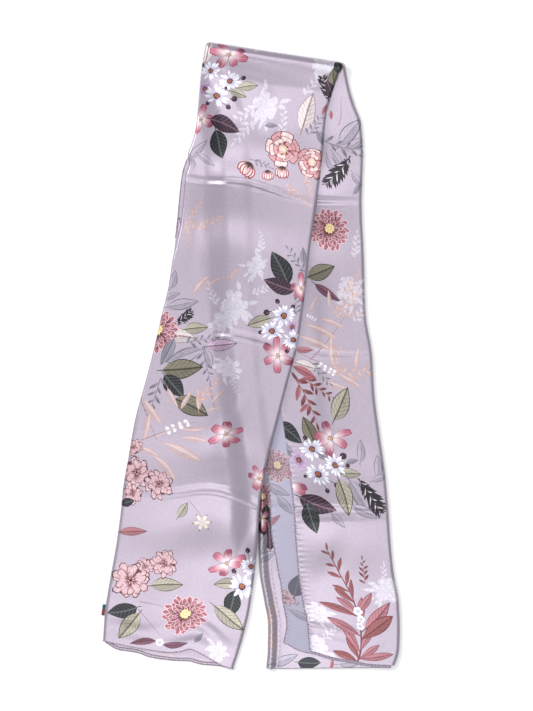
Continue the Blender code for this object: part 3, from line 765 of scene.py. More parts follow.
def feather(size, draw):
    """A dark leaf cut into narrow leaflets, placed by its middle."""
    line = curve(size, draw.uniform(-0.2, 0.2), 15)
    shapes = [stem(line, size * 0.035, BLACK_GREEN)]
    for k in range(1, 14):
        for side in (-1, 1):
            long = size * 0.36 * math.sin(math.pi * (k + 1.5) / 17.0)
            leaflet = blade(long, long * 0.15, BLACK_GREEN, PLUM, PETAL, 0.4, 0.9, 0.14 * side, steps=4)
            heading = side * math.radians(34 + draw.uniform(-9, 9))
            shapes.append(leaflet.moved(line[k], heading))
            if (k + side) % 3 == 0:
                light = blade(long * 0.7, long * 0.05, STONE, GHOST_LIGHT, PETAL, 0.5, 0.9,
                              0.14 * side, steps=4)
                shapes.append(light.moved(line[k], heading))
    return moved_all(shapes, (-size / 2.0, 0.0))


def sprig(size, draw, deep=PEACH_DARK, pale=PEACH, slim=0.13):
    """A thin stem with narrow leaflets, placed by its middle."""
    bend = draw.uniform(-0.25, 0.25)
    line = curve(size, bend, 9)
    shapes = [stem(line, size * 0.018, deep)]
    for k in range(1, 9):
        side = 1 if k % 2 else -1
        long = size * draw.uniform(0.22, 0.34) * (1.15 - 0.4 * k / 8.0)
        leaflet = blade(long, long * slim, pale, deep, PETAL, 0.5, 0.85, 0.15 * side, steps=5)
        shapes.append(leaflet.moved(line[k - 1], side * math.radians(36 + draw.uniform(-12, 12)) + bend))
    last = blade(size * 0.24, size * 0.03, pale, deep, PETAL, 0.5, 0.85, steps=4)
    shapes.append(last.moved(line[-1], 2.0 * bend))
    return moved_all(shapes, (-size / 2.0, 0.0))


def bud_sprig(size, draw):
    """A stem with small white buds."""
    line = curve(size, draw.uniform(-0.15, 0.15), 7)
    shapes = [stem(line, size * 0.02, PEACH)]
    for k in range(2, 6):
        for side in (-1, 1):
            out = (line[k][0] + draw.uniform(-1, 1), line[k][1] + side * size * 0.055)
            shapes.append(disc(size * 0.052, WHITE, GHOST_LIGHT, SOFT, 7, 0.35, draw).moved(out))
    return moved_all(shapes, (-size / 2.0, 0.0))


def stalk(size, draw):
    """A bare curved stem, placed by its middle."""
    line = curve(size, draw.uniform(-0.12, 0.12), 8)
    return moved_all([stem(line, 1.3, STALK)], (-size / 2.0, 0.0))


def blossom(size, draw):
    """A small white five-petalled flower."""
    petal = blade(size, size * 0.42, WHITE_SHADE, WHITE, PETAL, 0.66, 0.5, 0.0, 0.3)
    shapes = ring(5, 0.0, lambda k: [petal], draw, 0.15)
    return shapes + dots(4, size * 0.2, size * 0.07, PINK, draw)


# A hanging bud's petals: turn in degrees, half width as part of the length, colour.
BUD_PETALS = ((-30, 0.3, ROSE), (28, 0.3, BRICK), (-12, 0.3, DUSTY_ROSE), (14, 0.28, ROSE), (0, 0.2, PINK))


def hanging_bud(size, draw):
    shapes = []
    for turn, half, deep in BUD_PETALS:
        petal = rimmed(size, size * half, BRICK, deep, CREAM_PINK, PETAL, 0.78, middle=0.56, sharp=0.7)
        shapes += moved_all(petal, (0.0, 0.0), math.radians(turn))
    for turn in (-46, -4, 44):
        sepal = blade(size * 0.42, size * 0.09, BROWN_DARK, SAGE_DARK, PETAL, 0.5, 0.9)
        shapes.append(sepal.moved((0, 0), math.radians(turn)))
    return moved_all(shapes, (-size / 2.0, 0.0))


def star(size, draw):
    ray = blade(size, size * 0.17, STONE, CREAM, PETAL, 0.5, 0.9)
    tip = blade(size * 0.3, size * 0.05, SAGE_DARK, SAGE_DARK, PLAIN).moved((size * 0.8, 0))
    shapes = ring(6, 0.0, lambda k: [ray, tip], draw, 0.2)
    return shapes + dots(4, size * 0.14, size * 0.05, SAGE, draw)


def dark_bud(size, draw):
    shapes = [stem(curve(-size * 0.7, 0.25, 4), size * 0.12, SAGE_DARK)]
    shapes.append(blade(size, size * 0.42, PLUM, BROWN_DARK, PETAL, 0.5, 0.6))
    light = blade(size * 0.7, size * 0.12, PLUM_LIGHT, PLUM, PETAL, 0.5, 0.9)
    shapes.append(light.moved((size * 0.1, size * 0.08)))
    return shapes


def ghost_flower(size, draw):
    """A pale flower and leaves left plain, like a shadow in white."""
    def petal(long, half, middle, sharp, bow, root=0.0, notch=0.0, steps=6):
        return blade(size * long, size * half, GHOST, GHOST_LIGHT, SOFT, middle, sharp,
                     draw.uniform(-bow, bow), root, notch, steps)

    shapes = []
    for k in range(7):
        turn = draw.uniform(0.0, 2.0 * math.pi)
        out = size * draw.uniform(0.4, 0.6)
        leaflet = petal(draw.uniform(0.35, 0.6), 0.09, 0.45, 0.9, 0.3)
        place = (out * math.cos(turn), out * math.sin(turn))
        shapes.append(leaflet.moved(place, turn + draw.uniform(-0.5, 0.5)))
    for radius, count in ((0.7, 8), (0.48, 5)):
        for k in range(count):
            turn = 2.0 * math.pi * (k + draw.uniform(-0.3, 0.3)) / count
            made = petal(radius * draw.uniform(0.8, 1.1), 0.17, 0.64, 0.5, 0.15, 0.3, 0.08, 5)
            shapes.append(made.moved((0, 0), turn))
    shapes += rays(4, size * 0.08, size * 0.34, size * 0.018, GHOST, draw)
    return moved_all(shapes, (0, 0), draw.uniform(0, 6), 0.85)


def ghost_leaves(size, draw):
    return [Shape(s.points, GHOST, GHOST_LIGHT, SOFT) for s in sprig(size, draw, slim=0.2)]


# The large spray's stem bends as it rises; its leaves, from the foot to the tip.
# place on the stem, side, length as part of the stem, half width as part of the leaf, turn
SPRAY_LEAVES = (
    (0.02, 1, 0.24, 0.13, 74), (0.04, -1, 0.30, 0.12, 70), (0.05, -1, 0.22, 0.14, 42),
    (0.06, 1, 0.22, 0.14, 40), (0.10, 1, 0.34, 0.11, 36), (0.12, -1, 0.24, 0.13, 16),
    (0.22, -1, 0.36, 0.17, 46), (0.26, 1, 0.32, 0.13, 58), (0.36, -1, 0.26, 0.13, 14),
    (0.42, 1, 0.34, 0.10, 56), (0.44, 1, 0.22, 0.15, 30), (0.44, -1, 0.24, 0.14, 44),
    (0.56, 1, 0.20, 0.14, 34), (0.58, -1, 0.19, 0.11, 8), (0.66, 1, 0.15, 0.13, 52),
    (0.70, -1, 0.15, 0.12, 30), (0.78, 1, 0.13, 0.14, 44), (0.82, -1, 0.13, 0.13, 24),
    (0.88, 1, 0.09, 0.15, 50), (0.92, -1, 0.09, 0.14, 30), (0.97, 1, 0.08, 0.14, 34),
    (1.0, -1, 0.08, 0.13, 12),
)


def spray(size, draw):
    t = np.linspace(0.0, 1.0, 41)
    line = np.stack([t * size, size * (0.30 * t * t - 0.12 * t)], axis=1)
    shapes = [stem(line, size * 0.016, DUSTY_DARK)]
    for number, (part, side, long, slim, turn) in enumerate(SPRAY_LEAVES):
        fill, edge = (DUSTY_ROSE, DUSTY_DARK) if part < 0.5 and number % 3 else (TERRACOTTA, TERRACOTTA_DARK)
        long *= size
        bend = side * draw.uniform(-0.05, 0.2)
        outer = blade(long, long * slim, edge, edge, PLAIN, 0.56, 0.85, bend, steps=8)
        inner = blade(long * 0.97, long * slim * 0.86, fill, edge, LEAF, 0.56, 0.85, bend, steps=8)
        heading = math.atan(0.6 * part - 0.12) + side * math.radians(turn)
        shapes += moved_all([outer, inner], line[int(round(part * 40))], heading)
    return shapes


# Leaves: fill, veins, half width as part of the length, rim, most bend, fill's width as part of the rim's.
LEAVES = {
    "sage": (SAGE, SAGE_DARK),
    "olive": (OLIVE, OLIVE_DARK, 0.26),
    "stone": (STONE, STONE_DARK, 0.24, STONE_DARK, 0.2, 0.94),
    "plum": (PLUM, PLUM_LIGHT, 0.25, BROWN_DARK),
    "dark": (BLACK_GREEN, GREEN_GREY, 0.28, BLACK_GREEN),
    "wine": (PLUM_LEAF, BROWN_DARK, 0.14, PLUM),
    "rose": (DUSTY_ROSE, DUSTY_DARK, 0.17, DUSTY_DARK),
    "brick": (RUST, TERRACOTTA_DARK, 0.16, BRICK),
    "grey": (GREY_LEAF, PENCIL, 0.2),
    "pencil": (PENCIL_FILL, GREY_LEAF, 0.19, PENCIL, 0.25, 0.86),
    "mauve": (MAUVE_LEAF, PENCIL, 0.2, PENCIL),
    "peach": (PEACH_FILL, PEACH, 0.115, PEACH_DARK, 0.2, 0.76),
}


def coloured(motif, *look):
    """The same motif in other colours and proportions."""
    return lambda size, draw: motif(size, draw, *look)


MOTIFS = {
    "daisy": daisy, "violet": coloured(daisy, VIOLET, VIOLET_SHADE), "cosmos": cosmos, "peony": peony,
    "dahlia": dahlia, "pale_dahlia": coloured(dahlia, CREAM_PINK, DUSTY_DARK, DUSTY_ROSE),
    "carnation": carnation, "feather": feather, "sprig": sprig,
    "brick_sprig": coloured(sprig, TERRACOTTA_DARK, TERRACOTTA, 0.17),
    "grey_sprig": coloured(sprig, PENCIL, GREY_LEAF, 0.14), "bud_sprig": bud_sprig, "blossom": blossom,
    "stalk": stalk, "bud": hanging_bud, "star": star, "dark_bud": dark_bud, "ghost": ghost_flower,
    "ghost_leaves": ghost_leaves, "spray": spray,
}
MOTIFS.update((name, coloured(leaf, *look)) for name, look in LEAVES.items())

# ---------------------------------------------------------------- where the print's motifs lie
# motif, photo_x, photo_y, size in millimetres, turn in degrees (0 right, 90 up the photograph)
OVER_PRINT = (
    ("ghost", 266, 107, 38, 20),
    ("ghost_leaves", 247, 112, 44, 200),
    ("ghost_leaves", 283, 124, 34, 80),
    ("ghost", 322, 66, 30, 0),
    ("ghost_leaves", 312, 86, 34, 60),
    ("ghost_leaves", 244, 132, 40, 230),
    ("ghost", 256, 266, 26, 0),
    ("ghost_leaves", 262, 244, 26, 80),
    ("ghost", 234, 306, 38, 40),
    ("ghost_leaves", 212, 296, 30, 120),
    ("ghost_leaves", 262, 291, 30, 20),
    ("ghost", 222, 322, 26, 0),
    ("ghost", 229, 368, 27, 10),
    ("ghost_leaves", 233, 385, 24, 280),
    ("ghost", 218, 651, 24, 0),
    ("stalk", 153, 603, 36, 352),
    ("stalk", 150, 622, 50, 308),
    ("stalk", 212, 396, 38, 107),
    ("stalk", 168, 430, 80, 22),
    ("stalk", 214, 116, 28, 50),
    ("stalk", 259, 162, 28, 345),
    ("stalk", 148, 418, 70, 292),
    ("stalk", 196, 508, 28, 310),
    ("stone", 208, 54, 32, 260),
    ("cosmos", 229, 56, 27, 10),
    ("sage", 248, 87, 30, 14),
    ("sage", 238, 94, 28, 350),
    ("violet", 205, 90, 13, 0),
    ("cosmos", 201, 120, 25, 60),
    ("dark_bud", 241, 80, 8, 20),
    ("dark_bud", 231, 100, 10, 0),
    ("dark_bud", 226, 106, 9, 320),
    ("dark_bud", 210, 103, 7, 200),
    ("dark_bud", 204, 68, 7, 120),
    ("dark_bud", 225, 91, 6, 60),
    ("daisy", 211, 72, 15, 0),
    ("daisy", 230, 82, 17, 20),
    ("daisy", 217, 97, 19, 40),
    ("plum", 225, 125, 48, 345),
    ("dark", 219, 145, 44, 286),
    ("pencil", 198, 150, 34, 60),
    ("pencil", 206, 160, 30, 320),
    ("pencil", 192, 162, 26, 100),
    ("feather", 327, 89, 40, 104),
    ("stone", 307, 113, 56, 66),
    ("grey_sprig", 316, 128, 34, 40),
    ("grey", 322, 140, 30, 300),
    ("brick", 324, 110, 16, 80),
    # The next three dark leaves are print, and they also stand for painted shade inside the turn's roll at
    # the right-hand edge.
    ("olive", 333, 79, 30, 112),
    ("plum", 330, 90, 28, 104),
    ("dark", 338, 68, 24, 120),
    ("grey", 271, 126, 20, 10),
    ("peony", 283, 150, 30, 0),
    ("peony", 312, 163, 27, 40),
    ("grey_sprig", 262, 163, 26, 350),
    ("bud", 247, 170, 24, 230),
    ("bud", 268, 176, 15, 270),
    ("bud", 282, 173, 18, 262),
    ("sprig", 297, 194, 40, 330),
    ("sprig", 310, 186, 30, 300),
    ("sprig", 192, 214, 34, 60),
    ("sprig", 206, 224, 42, 20),
    ("sprig", 190, 232, 30, 300),
    ("peach", 201, 284, 36, 55),
    ("peach", 214, 282, 24, 40),
    ("sprig", 232, 276, 26, 20),
    ("pencil", 174, 280, 30, 60),
    ("pencil", 171, 296, 28, 40),
    ("pencil", 183, 304, 46, 15),
    ("feather", 184, 319, 34, 34),
    ("grey_sprig", 296, 262, 38, 130),
    ("grey", 303, 256, 24, 100),
    ("dark", 281, 268, 52, 108),
    ("plum", 279, 286, 46, 164),
    ("cosmos", 301, 289, 22, 80),
    ("grey_sprig", 296, 306, 26, 90),
    ("dark_bud", 270, 312, 10, 190),
    ("dark_bud", 279, 304, 8, 120),
    ("dark_bud", 291, 308, 7, 30),
    ("sage", 259, 322, 36, 196),
    ("dark_bud", 263, 332, 7, 190),
    ("daisy", 284, 316, 18, 0),
    ("violet", 292, 327, 11, 0),
    ("daisy", 272, 331, 17, 20),
    ("cosmos", 278, 356, 29, 250),
    ("daisy", 293, 340, 15, 10),
    ("dark_bud", 287, 349, 7, 260),
    ("stone", 182, 336, 40, 0),
    ("dahlia", 157, 331, 29, 0),
    ("sage", 196, 328, 34, 10),
    ("grey_sprig", 200, 340, 38, 10),
    ("pencil", 184, 356, 52, 205),
    ("mauve", 222, 345, 44, 4),
    ("grey", 168, 352, 40, 250),
    ("grey_sprig", 206, 364, 48, 285),
    ("pencil", 209, 358, 30, 300),
    ("olive", 183, 369, 56, 2),
    ("dark", 174, 386, 44, 312),
    ("olive", 192, 406, 54, 340),
    ("grey_sprig", 156, 395, 52, 262),
    ("peach", 172, 398, 34, 290),
    ("peach", 186, 400, 30, 70),
    ("peach", 199, 399, 34, 92),
    ("peach", 218, 396, 26, 55),
    ("peach", 214, 409, 22, 20),
    ("peach", 152, 412, 46, 300),
    ("peach", 147, 426, 40, 262),
    ("sprig", 208, 392, 40, 50),
    ("peach", 192, 429, 32, 185),
    ("peach", 195, 439, 38, 355),
    ("peach", 183, 452, 58, 334),
    ("bud_sprig", 174, 427, 56, 30),
    ("peach", 149, 451, 34, 340),
    ("peach", 166, 467, 46, 322),
    ("cosmos", 226, 434, 26, 0),
    ("cosmos", 259, 478, 24, 110),
    ("carnation", 134, 447, 14, 0),
    ("carnation", 137, 472, 26, 0),
    ("carnation", 159, 484, 24, 30),
    ("carnation", 133, 493, 18, 30),
    ("dark", 128, 502, 20, 10),
    ("sage", 183, 510, 27, 52),
    ("star", 202, 522, 13, 0),
    ("rose", 133, 531, 40, 8),
    ("cosmos", 227, 563, 27, 40),
    ("sage", 167, 584, 44, 10),
    ("carnation", 145, 566, 16, 0),
    ("carnation", 164, 563, 23, 0),
    ("carnation", 131, 580, 32, 20),
    ("sage", 226, 583, 34, 176),
    ("dark_bud", 248, 553, 8, 90),
    ("dark_bud", 236, 573, 8, 130),
    ("daisy", 251, 566, 15, 0),
    ("dark", 232, 604, 42, 258),
    ("daisy", 242, 586, 19, 10),
    ("sage", 229, 618, 52, 322),
    ("dark", 123, 611, 42, 202),
    ("sage", 129, 626, 50, 232),
    ("grey", 200, 638, 20, 60),
    ("dahlia", 185, 615, 30, 0),
    ("wine", 143, 641, 38, 174),
    ("wine", 176, 645, 36, 350),
    ("blossom", 160, 642, 6, 0),
)
UNDER_PRINT = (
    ("ghost", 349, 291, 34, 0),
    ("ghost_leaves", 362, 314, 34, 40),
    ("ghost", 387, 590, 36, 0),
    ("ghost_leaves", 383, 574, 26, 100),
    ("ghost", 317, 613, 34, 0),
    ("ghost", 318, 647, 30, 60),
    ("ghost_leaves", 330, 632, 34, 60),
    ("ghost_leaves", 356, 246, 34, 80),
    ("brick", 331, 115, 16, 70),
    ("stalk", 342, 150, 66, 333),
    ("stalk", 342, 112, 50, 60),
    ("stalk", 330, 340, 90, 40),
    ("stalk", 312, 360, 46, 330),
    ("stalk", 352, 476, 60, 320),
    ("pencil", 350, 132, 56, 50),
    ("pencil", 355, 144, 34, 18),
    ("grey_sprig", 344, 150, 60, 336),
    ("pencil", 332, 166, 36, 290),
    ("pencil", 338, 160, 30, 310),
    ("feather", 340, 172, 56, 236),
    ("pencil", 357, 180, 28, 300),
    ("grey", 357, 189, 20, 50),
    ("dahlia", 329, 230, 30, 0),
    ("olive", 321, 272, 46, 20),
    ("wine", 327, 293, 46, 322),
    ("peach", 314, 303, 26, 60),
    ("peach", 329, 299, 26, 95),
    ("sprig", 350, 283, 36, 70),
    ("sprig", 348, 304, 40, 30),
    ("sprig", 345, 316, 38, 350),
    ("peach", 333, 323, 36, 345),
    ("peach", 322, 331, 46, 340),
    ("bud_sprig", 310, 316, 26, 340),
    ("peach", 316, 343, 50, 336),
    ("peach", 332, 350, 46, 92),
    ("sprig", 338, 361, 34, 50),
    ("rose", 304, 350, 28, 345),
    ("peach", 357, 358, 34, 88),
    ("sprig", 352, 371, 56, 10),
    ("peach", 350, 381, 38, 325),
    ("peach", 337, 386, 36, 336),
    ("bud_sprig", 325, 367, 46, 335),
    ("grey_sprig", 320, 373, 36, 310),
    ("stone", 306, 366, 34, 340),
    ("brick", 305, 372, 38, 338),
    ("brick", 307, 378, 20, 4),
    ("wine", 295, 377, 18, 296),
    ("brick_sprig", 309, 398, 64, 302),
    ("brick_sprig", 318, 390, 42, 314),
    ("brick", 298, 393, 24, 262),
    ("brick", 304, 408, 20, 216),
    ("sage", 341, 404, 56, 56),
    ("olive", 309, 430, 42, 106),
    ("dark", 290, 432, 44, 330),
    ("pencil", 361, 451, 34, 70),
    ("dark_bud", 340, 458, 12, 30),
    ("dark_bud", 304, 440, 8, 60),
    ("cosmos", 331, 438, 32, 30),
    ("grey", 322, 455, 30, 330),
    ("grey", 288, 450, 30, 290),
    ("cosmos", 290, 486, 28, 330),
    ("violet", 299, 460, 16, 0),
    ("daisy", 312, 449, 19, 0),
    ("sage", 350, 473, 32, 8),
    ("grey", 352, 461, 20, 20),
    ("dark_bud", 345, 466, 8, 10),
    ("dark_bud", 334, 483, 10, 320),
    ("dark_bud", 326, 488, 8, 290),
    ("dark_bud", 307, 477, 6, 150),
    ("daisy", 335, 465, 18, 0),
    ("daisy", 318, 474, 20, 0),
    ("pencil", 378, 466, 34, 75),
    ("pencil", 379, 478, 26, 20),
    ("pencil", 360, 497, 56, 300),
    ("pencil", 366, 512, 44, 330),
    ("sage", 345, 497, 54, 288),
    ("feather", 371, 495, 58, 304),
    ("plum", 317, 505, 58, 328),
    ("dark", 311, 518, 46, 278),
    ("pencil", 338, 520, 30, 310),
    ("rose", 378, 617, 58, 42),
    ("spray", 357, 664, 172, 92),
    ("brick_sprig", 364, 572, 34, 84),
    ("blossom", 358, 611, 7, 0),
    ("blossom", 361, 619, 6, 0),
    ("blossom", 360, 626, 6, 0),
)


# Motifs and sizes for the sides that the photograph doesn't show.
SCATTERED = (("ghost", 30), ("sage", 38), ("cosmos", 24), ("pencil", 42), ("daisy", 16),
             ("sprig", 36), ("mauve", 38), ("plum", 42), ("peach", 40), ("dark", 40))


def scatter(count, across, along, seed):
    """Rows like the tables' own, at random places in the cloth's flat measures."""
    draw = random.Random(seed)
    rows = []
    for k in range(count):
        name, size = SCATTERED[k % len(SCATTERED)]
        rows.append((name, draw.uniform(*across), draw.uniform(*along), size, draw.uniform(0, 360)))
    return rows


def print_shapes(rows, to_cloth, seed):
    """The rows' motifs as patches in the cloth's own flat measures."""
    shapes = []
    for number, (name, x, y, size, turn) in enumerate(rows):
        draw = random.Random(seed * 1000 + number)
        u, s, direction = to_cloth(x, y)
        shapes += moved_all(MOTIFS[name](size, draw), (u, s), math.radians(turn) - direction)
    return shapes


def already_flat(u, s):
    return u, s, 0.0


def to_over(photo_x, photo_y):
    across, along, direction = over.place(*from_photo(photo_x, photo_y))
    width = over.section(along)[2]
    inset = side_inset(along)
    share = (across - inset - FOLD_REACH) / (width - inset - 2.0 * FOLD_REACH)
    shift = end_shift(OVER_END, across / width, along)
    return FOLD_ARC + share * (FLAT_WIDTH - 2.0 * FOLD_ARC), along - shift, direction


def under_u(across, along):
    """The flat measure across the lower half's top layers."""
    return across / (under.section(along)[2] - FOLD_REACH) * (FLAT_WIDTH - FOLD_ARC)


def to_under(photo_x, photo_y):
    across, along, direction = under.place(*from_photo(photo_x, photo_y))
    shift = end_shift(UNDER_END, across / under.section(along)[2], along)
    return under_u(across, along), along - shift, direction


def to_fold(photo_x, photo_y):
    across, along, direction = under.place(*from_photo(photo_x, photo_y))
    return PUFF_ARC + across - PUFF_REACH, along, direction


# ---------------------------------------------------------------- making cloth
ROW_RISE = 0.866            # rows of a triangular grid, as a part of its spacing
COARSE = 3                  # how much further apart the points of hidden cloth lie
NORMAL_STEP = 0.35          # for the slopes that give the normals


def put_in_scene(name, data):
    made = bpy.data.objects.new(name, data)
    bpy.context.scene.collection.objects.link(made)
    return made


def paint(mesh, name, domain, colours):
    """Opaque colours as an attribute of the mesh."""
    opaque = np.ones((len(colours), 1))
    layer = mesh.attributes.new(name, "FLOAT_COLOR", domain)
    layer.data.foreach_set("color", np.concatenate([np.array(colours), opaque], axis=1).ravel())


def dense_line(points, spacing):
    """A closed outline with points close together."""
    dense = []
    for start, end in zip(points, points[1:] + points[:1]):
        count = max(1, round(math.dist(start, end) / spacing))
        dense += [(start[0] + (end[0] - start[0]) * i / count, start[1] + (end[1] - start[1]) * i / count)
                  for i in range(count)]
    return dense


def inside_outline(points, outline):
    x, y = points[:, 0], points[:, 1]
    found = np.zeros(len(points), bool)
    for (x0, y0), (x1, y1) in zip(outline, outline[1:] + outline[:1]):
        if y0 != y1:
            crosses = (y0 > y) != (y1 > y)
            found ^= crosses & (x < (x1 - x0) * (y - y0) / (y1 - y0) + x0)
    return found


def cloth_points(outline, spacing, fine_to=None):
    """Points in rows, staggered; past fine_to in u they lie further apart."""
    corners = np.array(outline)
    (u0, s0), (u1, s1) = corners.min(axis=0), corners.max(axis=0)
    rows = np.arange(s0, s1, spacing * ROW_RISE)
    points = []
    for k, s in enumerate(rows):
        stop = u1 if fine_to is None else fine_to
        u = np.arange(u0 + (0.5 * spacing if k % 2 else 0.0), stop, spacing)
        if fine_to is not None and k % COARSE == 0:
            u = np.concatenate([u, np.arange(stop, u1, spacing * COARSE)])
        points.append(np.stack([u, np.full(len(u), s)], axis=1))
    points = np.concatenate(points)
    return points[inside_outline(points, outline)]


def patch_under(middles, shapes):
    """For each triangle, the number of the last patch that covers it, or 0 for plain cloth."""
    order = np.argsort(middles[:, 1])
    sorted_s = middles[order, 1]
    top = np.zeros(len(middles), int)
    for number, shape in enumerate(shapes, 1):
        low, high = shape.points.min(axis=0), shape.points.max(axis=0)
        first, last = np.searchsorted(sorted_s, (low[1], high[1]))
        near = order[first:last]
        near = near[(middles[near, 0] > low[0]) & (middles[near, 0] < high[0])]
        if len(near):
            top[near[inside_outline(middles[near], shape.points.tolist())]] = number
    return top


def cloth(name, surface, outline, spacing, shapes, ground, fine_to=None):
    """A sheet of cloth, divided along the outlines of its print, with the print's colours."""
    edge = dense_line(outline, spacing)
    low, high = np.array(edge).min(axis=0), np.array(edge).max(axis=0)
    shapes = [s for s in shapes if (s.points.max(axis=0) > low).all() and (s.points.min(axis=0) < high).all()]
    points, lines, start = [], [], 0
    for loop in [np.array(edge)] + [s.points for s in shapes]:
        count = len(loop)
        points.append(loop)
        lines += [(start + k, start + (k + 1) % count) for k in range(count)]
        start += count
    points.append(cloth_points(edge, spacing, fine_to))
    flat = [Vector(p) for p in np.concatenate(points)]
    made = delaunay_2d_cdt(flat, lines, [], 0, 1e-6, False)
    corners = np.array([tuple(v) for v in made[0]])
    triangles = np.array(made[2])
    middles = corners[triangles].mean(axis=1)
    kept = inside_outline(middles, edge)
    triangles = triangles[kept]
    top = patch_under(middles[kept], shapes)
    used, index = np.unique(triangles, return_inverse=True)
    triangles = index.reshape(triangles.shape)
    corners = corners[used]
    u, s = corners[:, 0], corners[:, 1]
    place = surface(u, s)
    du = surface(u + NORMAL_STEP, s) - surface(u - NORMAL_STEP, s)
    ds = surface(u, s + NORMAL_STEP) - surface(u, s - NORMAL_STEP)
    normals = np.cross(du, ds)
    normals /= np.maximum(np.linalg.norm(normals, axis=1), 1e-9)[:, None]
    mesh = bpy.data.meshes.new(name)
    mesh.from_pydata((place * MM).tolist(), [], triangles.tolist())
    mesh.shade_smooth()
    mesh.normals_split_custom_set_from_vertices(normals.tolist())
    colour_cloth(mesh, corners[triangles.reshape(-1)], np.repeat(top, 3), shapes, ground)
    lay_out(mesh, corners, triangles, low, high)
    return put_in_scene(name, mesh)


def colour_cloth(mesh, corners, top, shapes, ground):
    """The print's colours and each corner's place in its own patch."""
    every = [Shape([], ground, ground, PLAIN)] + shapes
    names = ("base", "tip", "start", "axis", "side", "bend", "kind")
    base, tip, start, axis, side, bend, kind = (np.array([getattr(s, name) for s in every])[top]
                                                for name in names)
    away = corners - start
    t = np.sum(away * axis, axis=1) / np.sum(axis * axis, axis=1)
    v = np.sum(away * side, axis=1) / np.sum(side * side, axis=1) - bend * t * t
    paint(mesh, "print_base", "CORNER", base)
    paint(mesh, "print_tip", "CORNER", tip)
    layer = mesh.attributes.new("print_place", "FLOAT_VECTOR", "CORNER")
    layer.data.foreach_set("vector", np.stack([t, v, kind], axis=1).ravel())


BAKE_ROWS = 2               # the cloth's length is laid out in this many rows and columns
BAKE_MARGIN = 0.012


def lay_out(mesh, corners, triangles, low, high):
    """The cloth's lengths side by side on a square, in real proportion where they can be."""
    middle = corners[triangles].mean(axis=1)
    cells = BAKE_ROWS * BAKE_ROWS
    run = (high[1] - low[1]) / cells
    cell = np.clip(((middle[:, 1] - low[1]) / run).astype(int), 0, cells - 1)
    cell = np.repeat(cell, 3)
    flat = corners[triangles.reshape(-1)]
    x = (flat[:, 0] - low[0]) / (high[0] - low[0])
    y = (flat[:, 1] - low[1]) / run - cell
    size = 1.0 / BAKE_ROWS
    shrink = 1.0 - 2.0 * BAKE_MARGIN
    u = (cell % BAKE_ROWS) * size + size * (BAKE_MARGIN + shrink * x)
    v = (cell // BAKE_ROWS) * size + size * (BAKE_MARGIN + shrink * y)
    layer = mesh.uv_layers.new(name="OFBake")
    layer.data.foreach_set("uv", np.stack([u, v], axis=1).ravel())


# ---------------------------------------------------------------- materials
class Nodes:
    """Short ways to add nodes to a material."""

    def __init__(self, name):
        self.material = bpy.data.materials.new(name)
        self.material.use_nodes = True
        self.tree = self.material.node_tree
        self.shader = self.tree.nodes["Principled BSDF"]

    def link(self, value, socket):
        if isinstance(value, bpy.types.NodeSocket):
            self.tree.links.new(value, socket)
        else:
            socket.default_value = value

    def math(self, operation, *values, clamp=False):
        node = self.tree.nodes.new("ShaderNodeMath")
        node.operation = operation
        node.use_clamp = clamp
        for value, socket in zip(values, node.inputs):
            self.link(value, socket)
        return node.outputs[0]

    def plus(self, *values, clamp=False):
        return self.math("ADD", *values, clamp=clamp)

    def times(self, *values):
        return self.math("MULTIPLY", *values)

    def set(self, values):
        """Plain values on the shader's own sockets."""
        for name, value in values.items():
            self.shader.inputs[name].default_value = value

    def mix(self, part, first, second, blend="MIX"):
        node = self.tree.nodes.new("ShaderNodeMix")
        node.data_type = "RGBA"
        node.blend_type = blend
        self.link(part, node.inputs[0])
        for value, socket in ((first, node.inputs[6]), (second, node.inputs[7])):
            self.link((*value, 1.0) if isinstance(value, tuple) else value, socket)
        return node.outputs[2]

    def attribute(self, name, output="Color"):
        node = self.tree.nodes.new("ShaderNodeAttribute")
        node.attribute_name = name
        return node.outputs[output]

    def separate(self, vector):
        node = self.tree.nodes.new("ShaderNodeSeparateXYZ")
        self.link(vector, node.inputs[0])
        return node.outputs

    def combine(self, x, y, z):
        node = self.tree.nodes.new("ShaderNodeCombineXYZ")
        for value, socket in zip((x, y, z), node.inputs):
            self.link(value, socket)
        return node.outputs[0]

    def noise(self, vector, scale, detail=2.0, rough=0.5):
        node = self.tree.nodes.new("ShaderNodeTexNoise")
        node.inputs["Scale"].default_value = scale
        node.inputs["Detail"].default_value = detail
        node.inputs["Roughness"].default_value = rough
        self.link(vector, node.inputs["Vector"])
        return node.outputs["Fac"]

    def ramp(self, value, low, high, to_low=0.0, to_high=1.0):
        node = self.tree.nodes.new("ShaderNodeMapRange")
        node.interpolation_type = "SMOOTHSTEP"
        self.link(value, node.inputs[0])
        for number, socket in zip((low, high, to_low, to_high), list(node.inputs)[1:5]):
            socket.default_value = number
        return node.outputs[0]

    def bump(self, height, strength, distance):
        node = self.tree.nodes.new("ShaderNodeBump")
        node.inputs["Strength"].default_value = strength
        node.inputs["Distance"].default_value = distance
        self.link(height, node.inputs["Height"])
        return node.outputs[0]

    def place(self):
        """Position on the object in millimetres."""
        node = self.tree.nodes.new("ShaderNodeTexCoord")
        scaled = self.tree.nodes.new("ShaderNodeVectorMath")
        scaled.operation = "SCALE"
        scaled.inputs["Scale"].default_value = 1.0 / MM
        self.tree.links.new(node.outputs["Object"], scaled.inputs[0])
        return scaled.outputs[0]


def is_kind(nodes, kind, wanted):
    return nodes.math("COMPARE", kind, wanted, 0.4)


BRUSHED = 0.2               # how far brush strokes lighten and darken a motif
LEAF_HALVES = 0.13          # one half of a leaf is painted lighter than the other


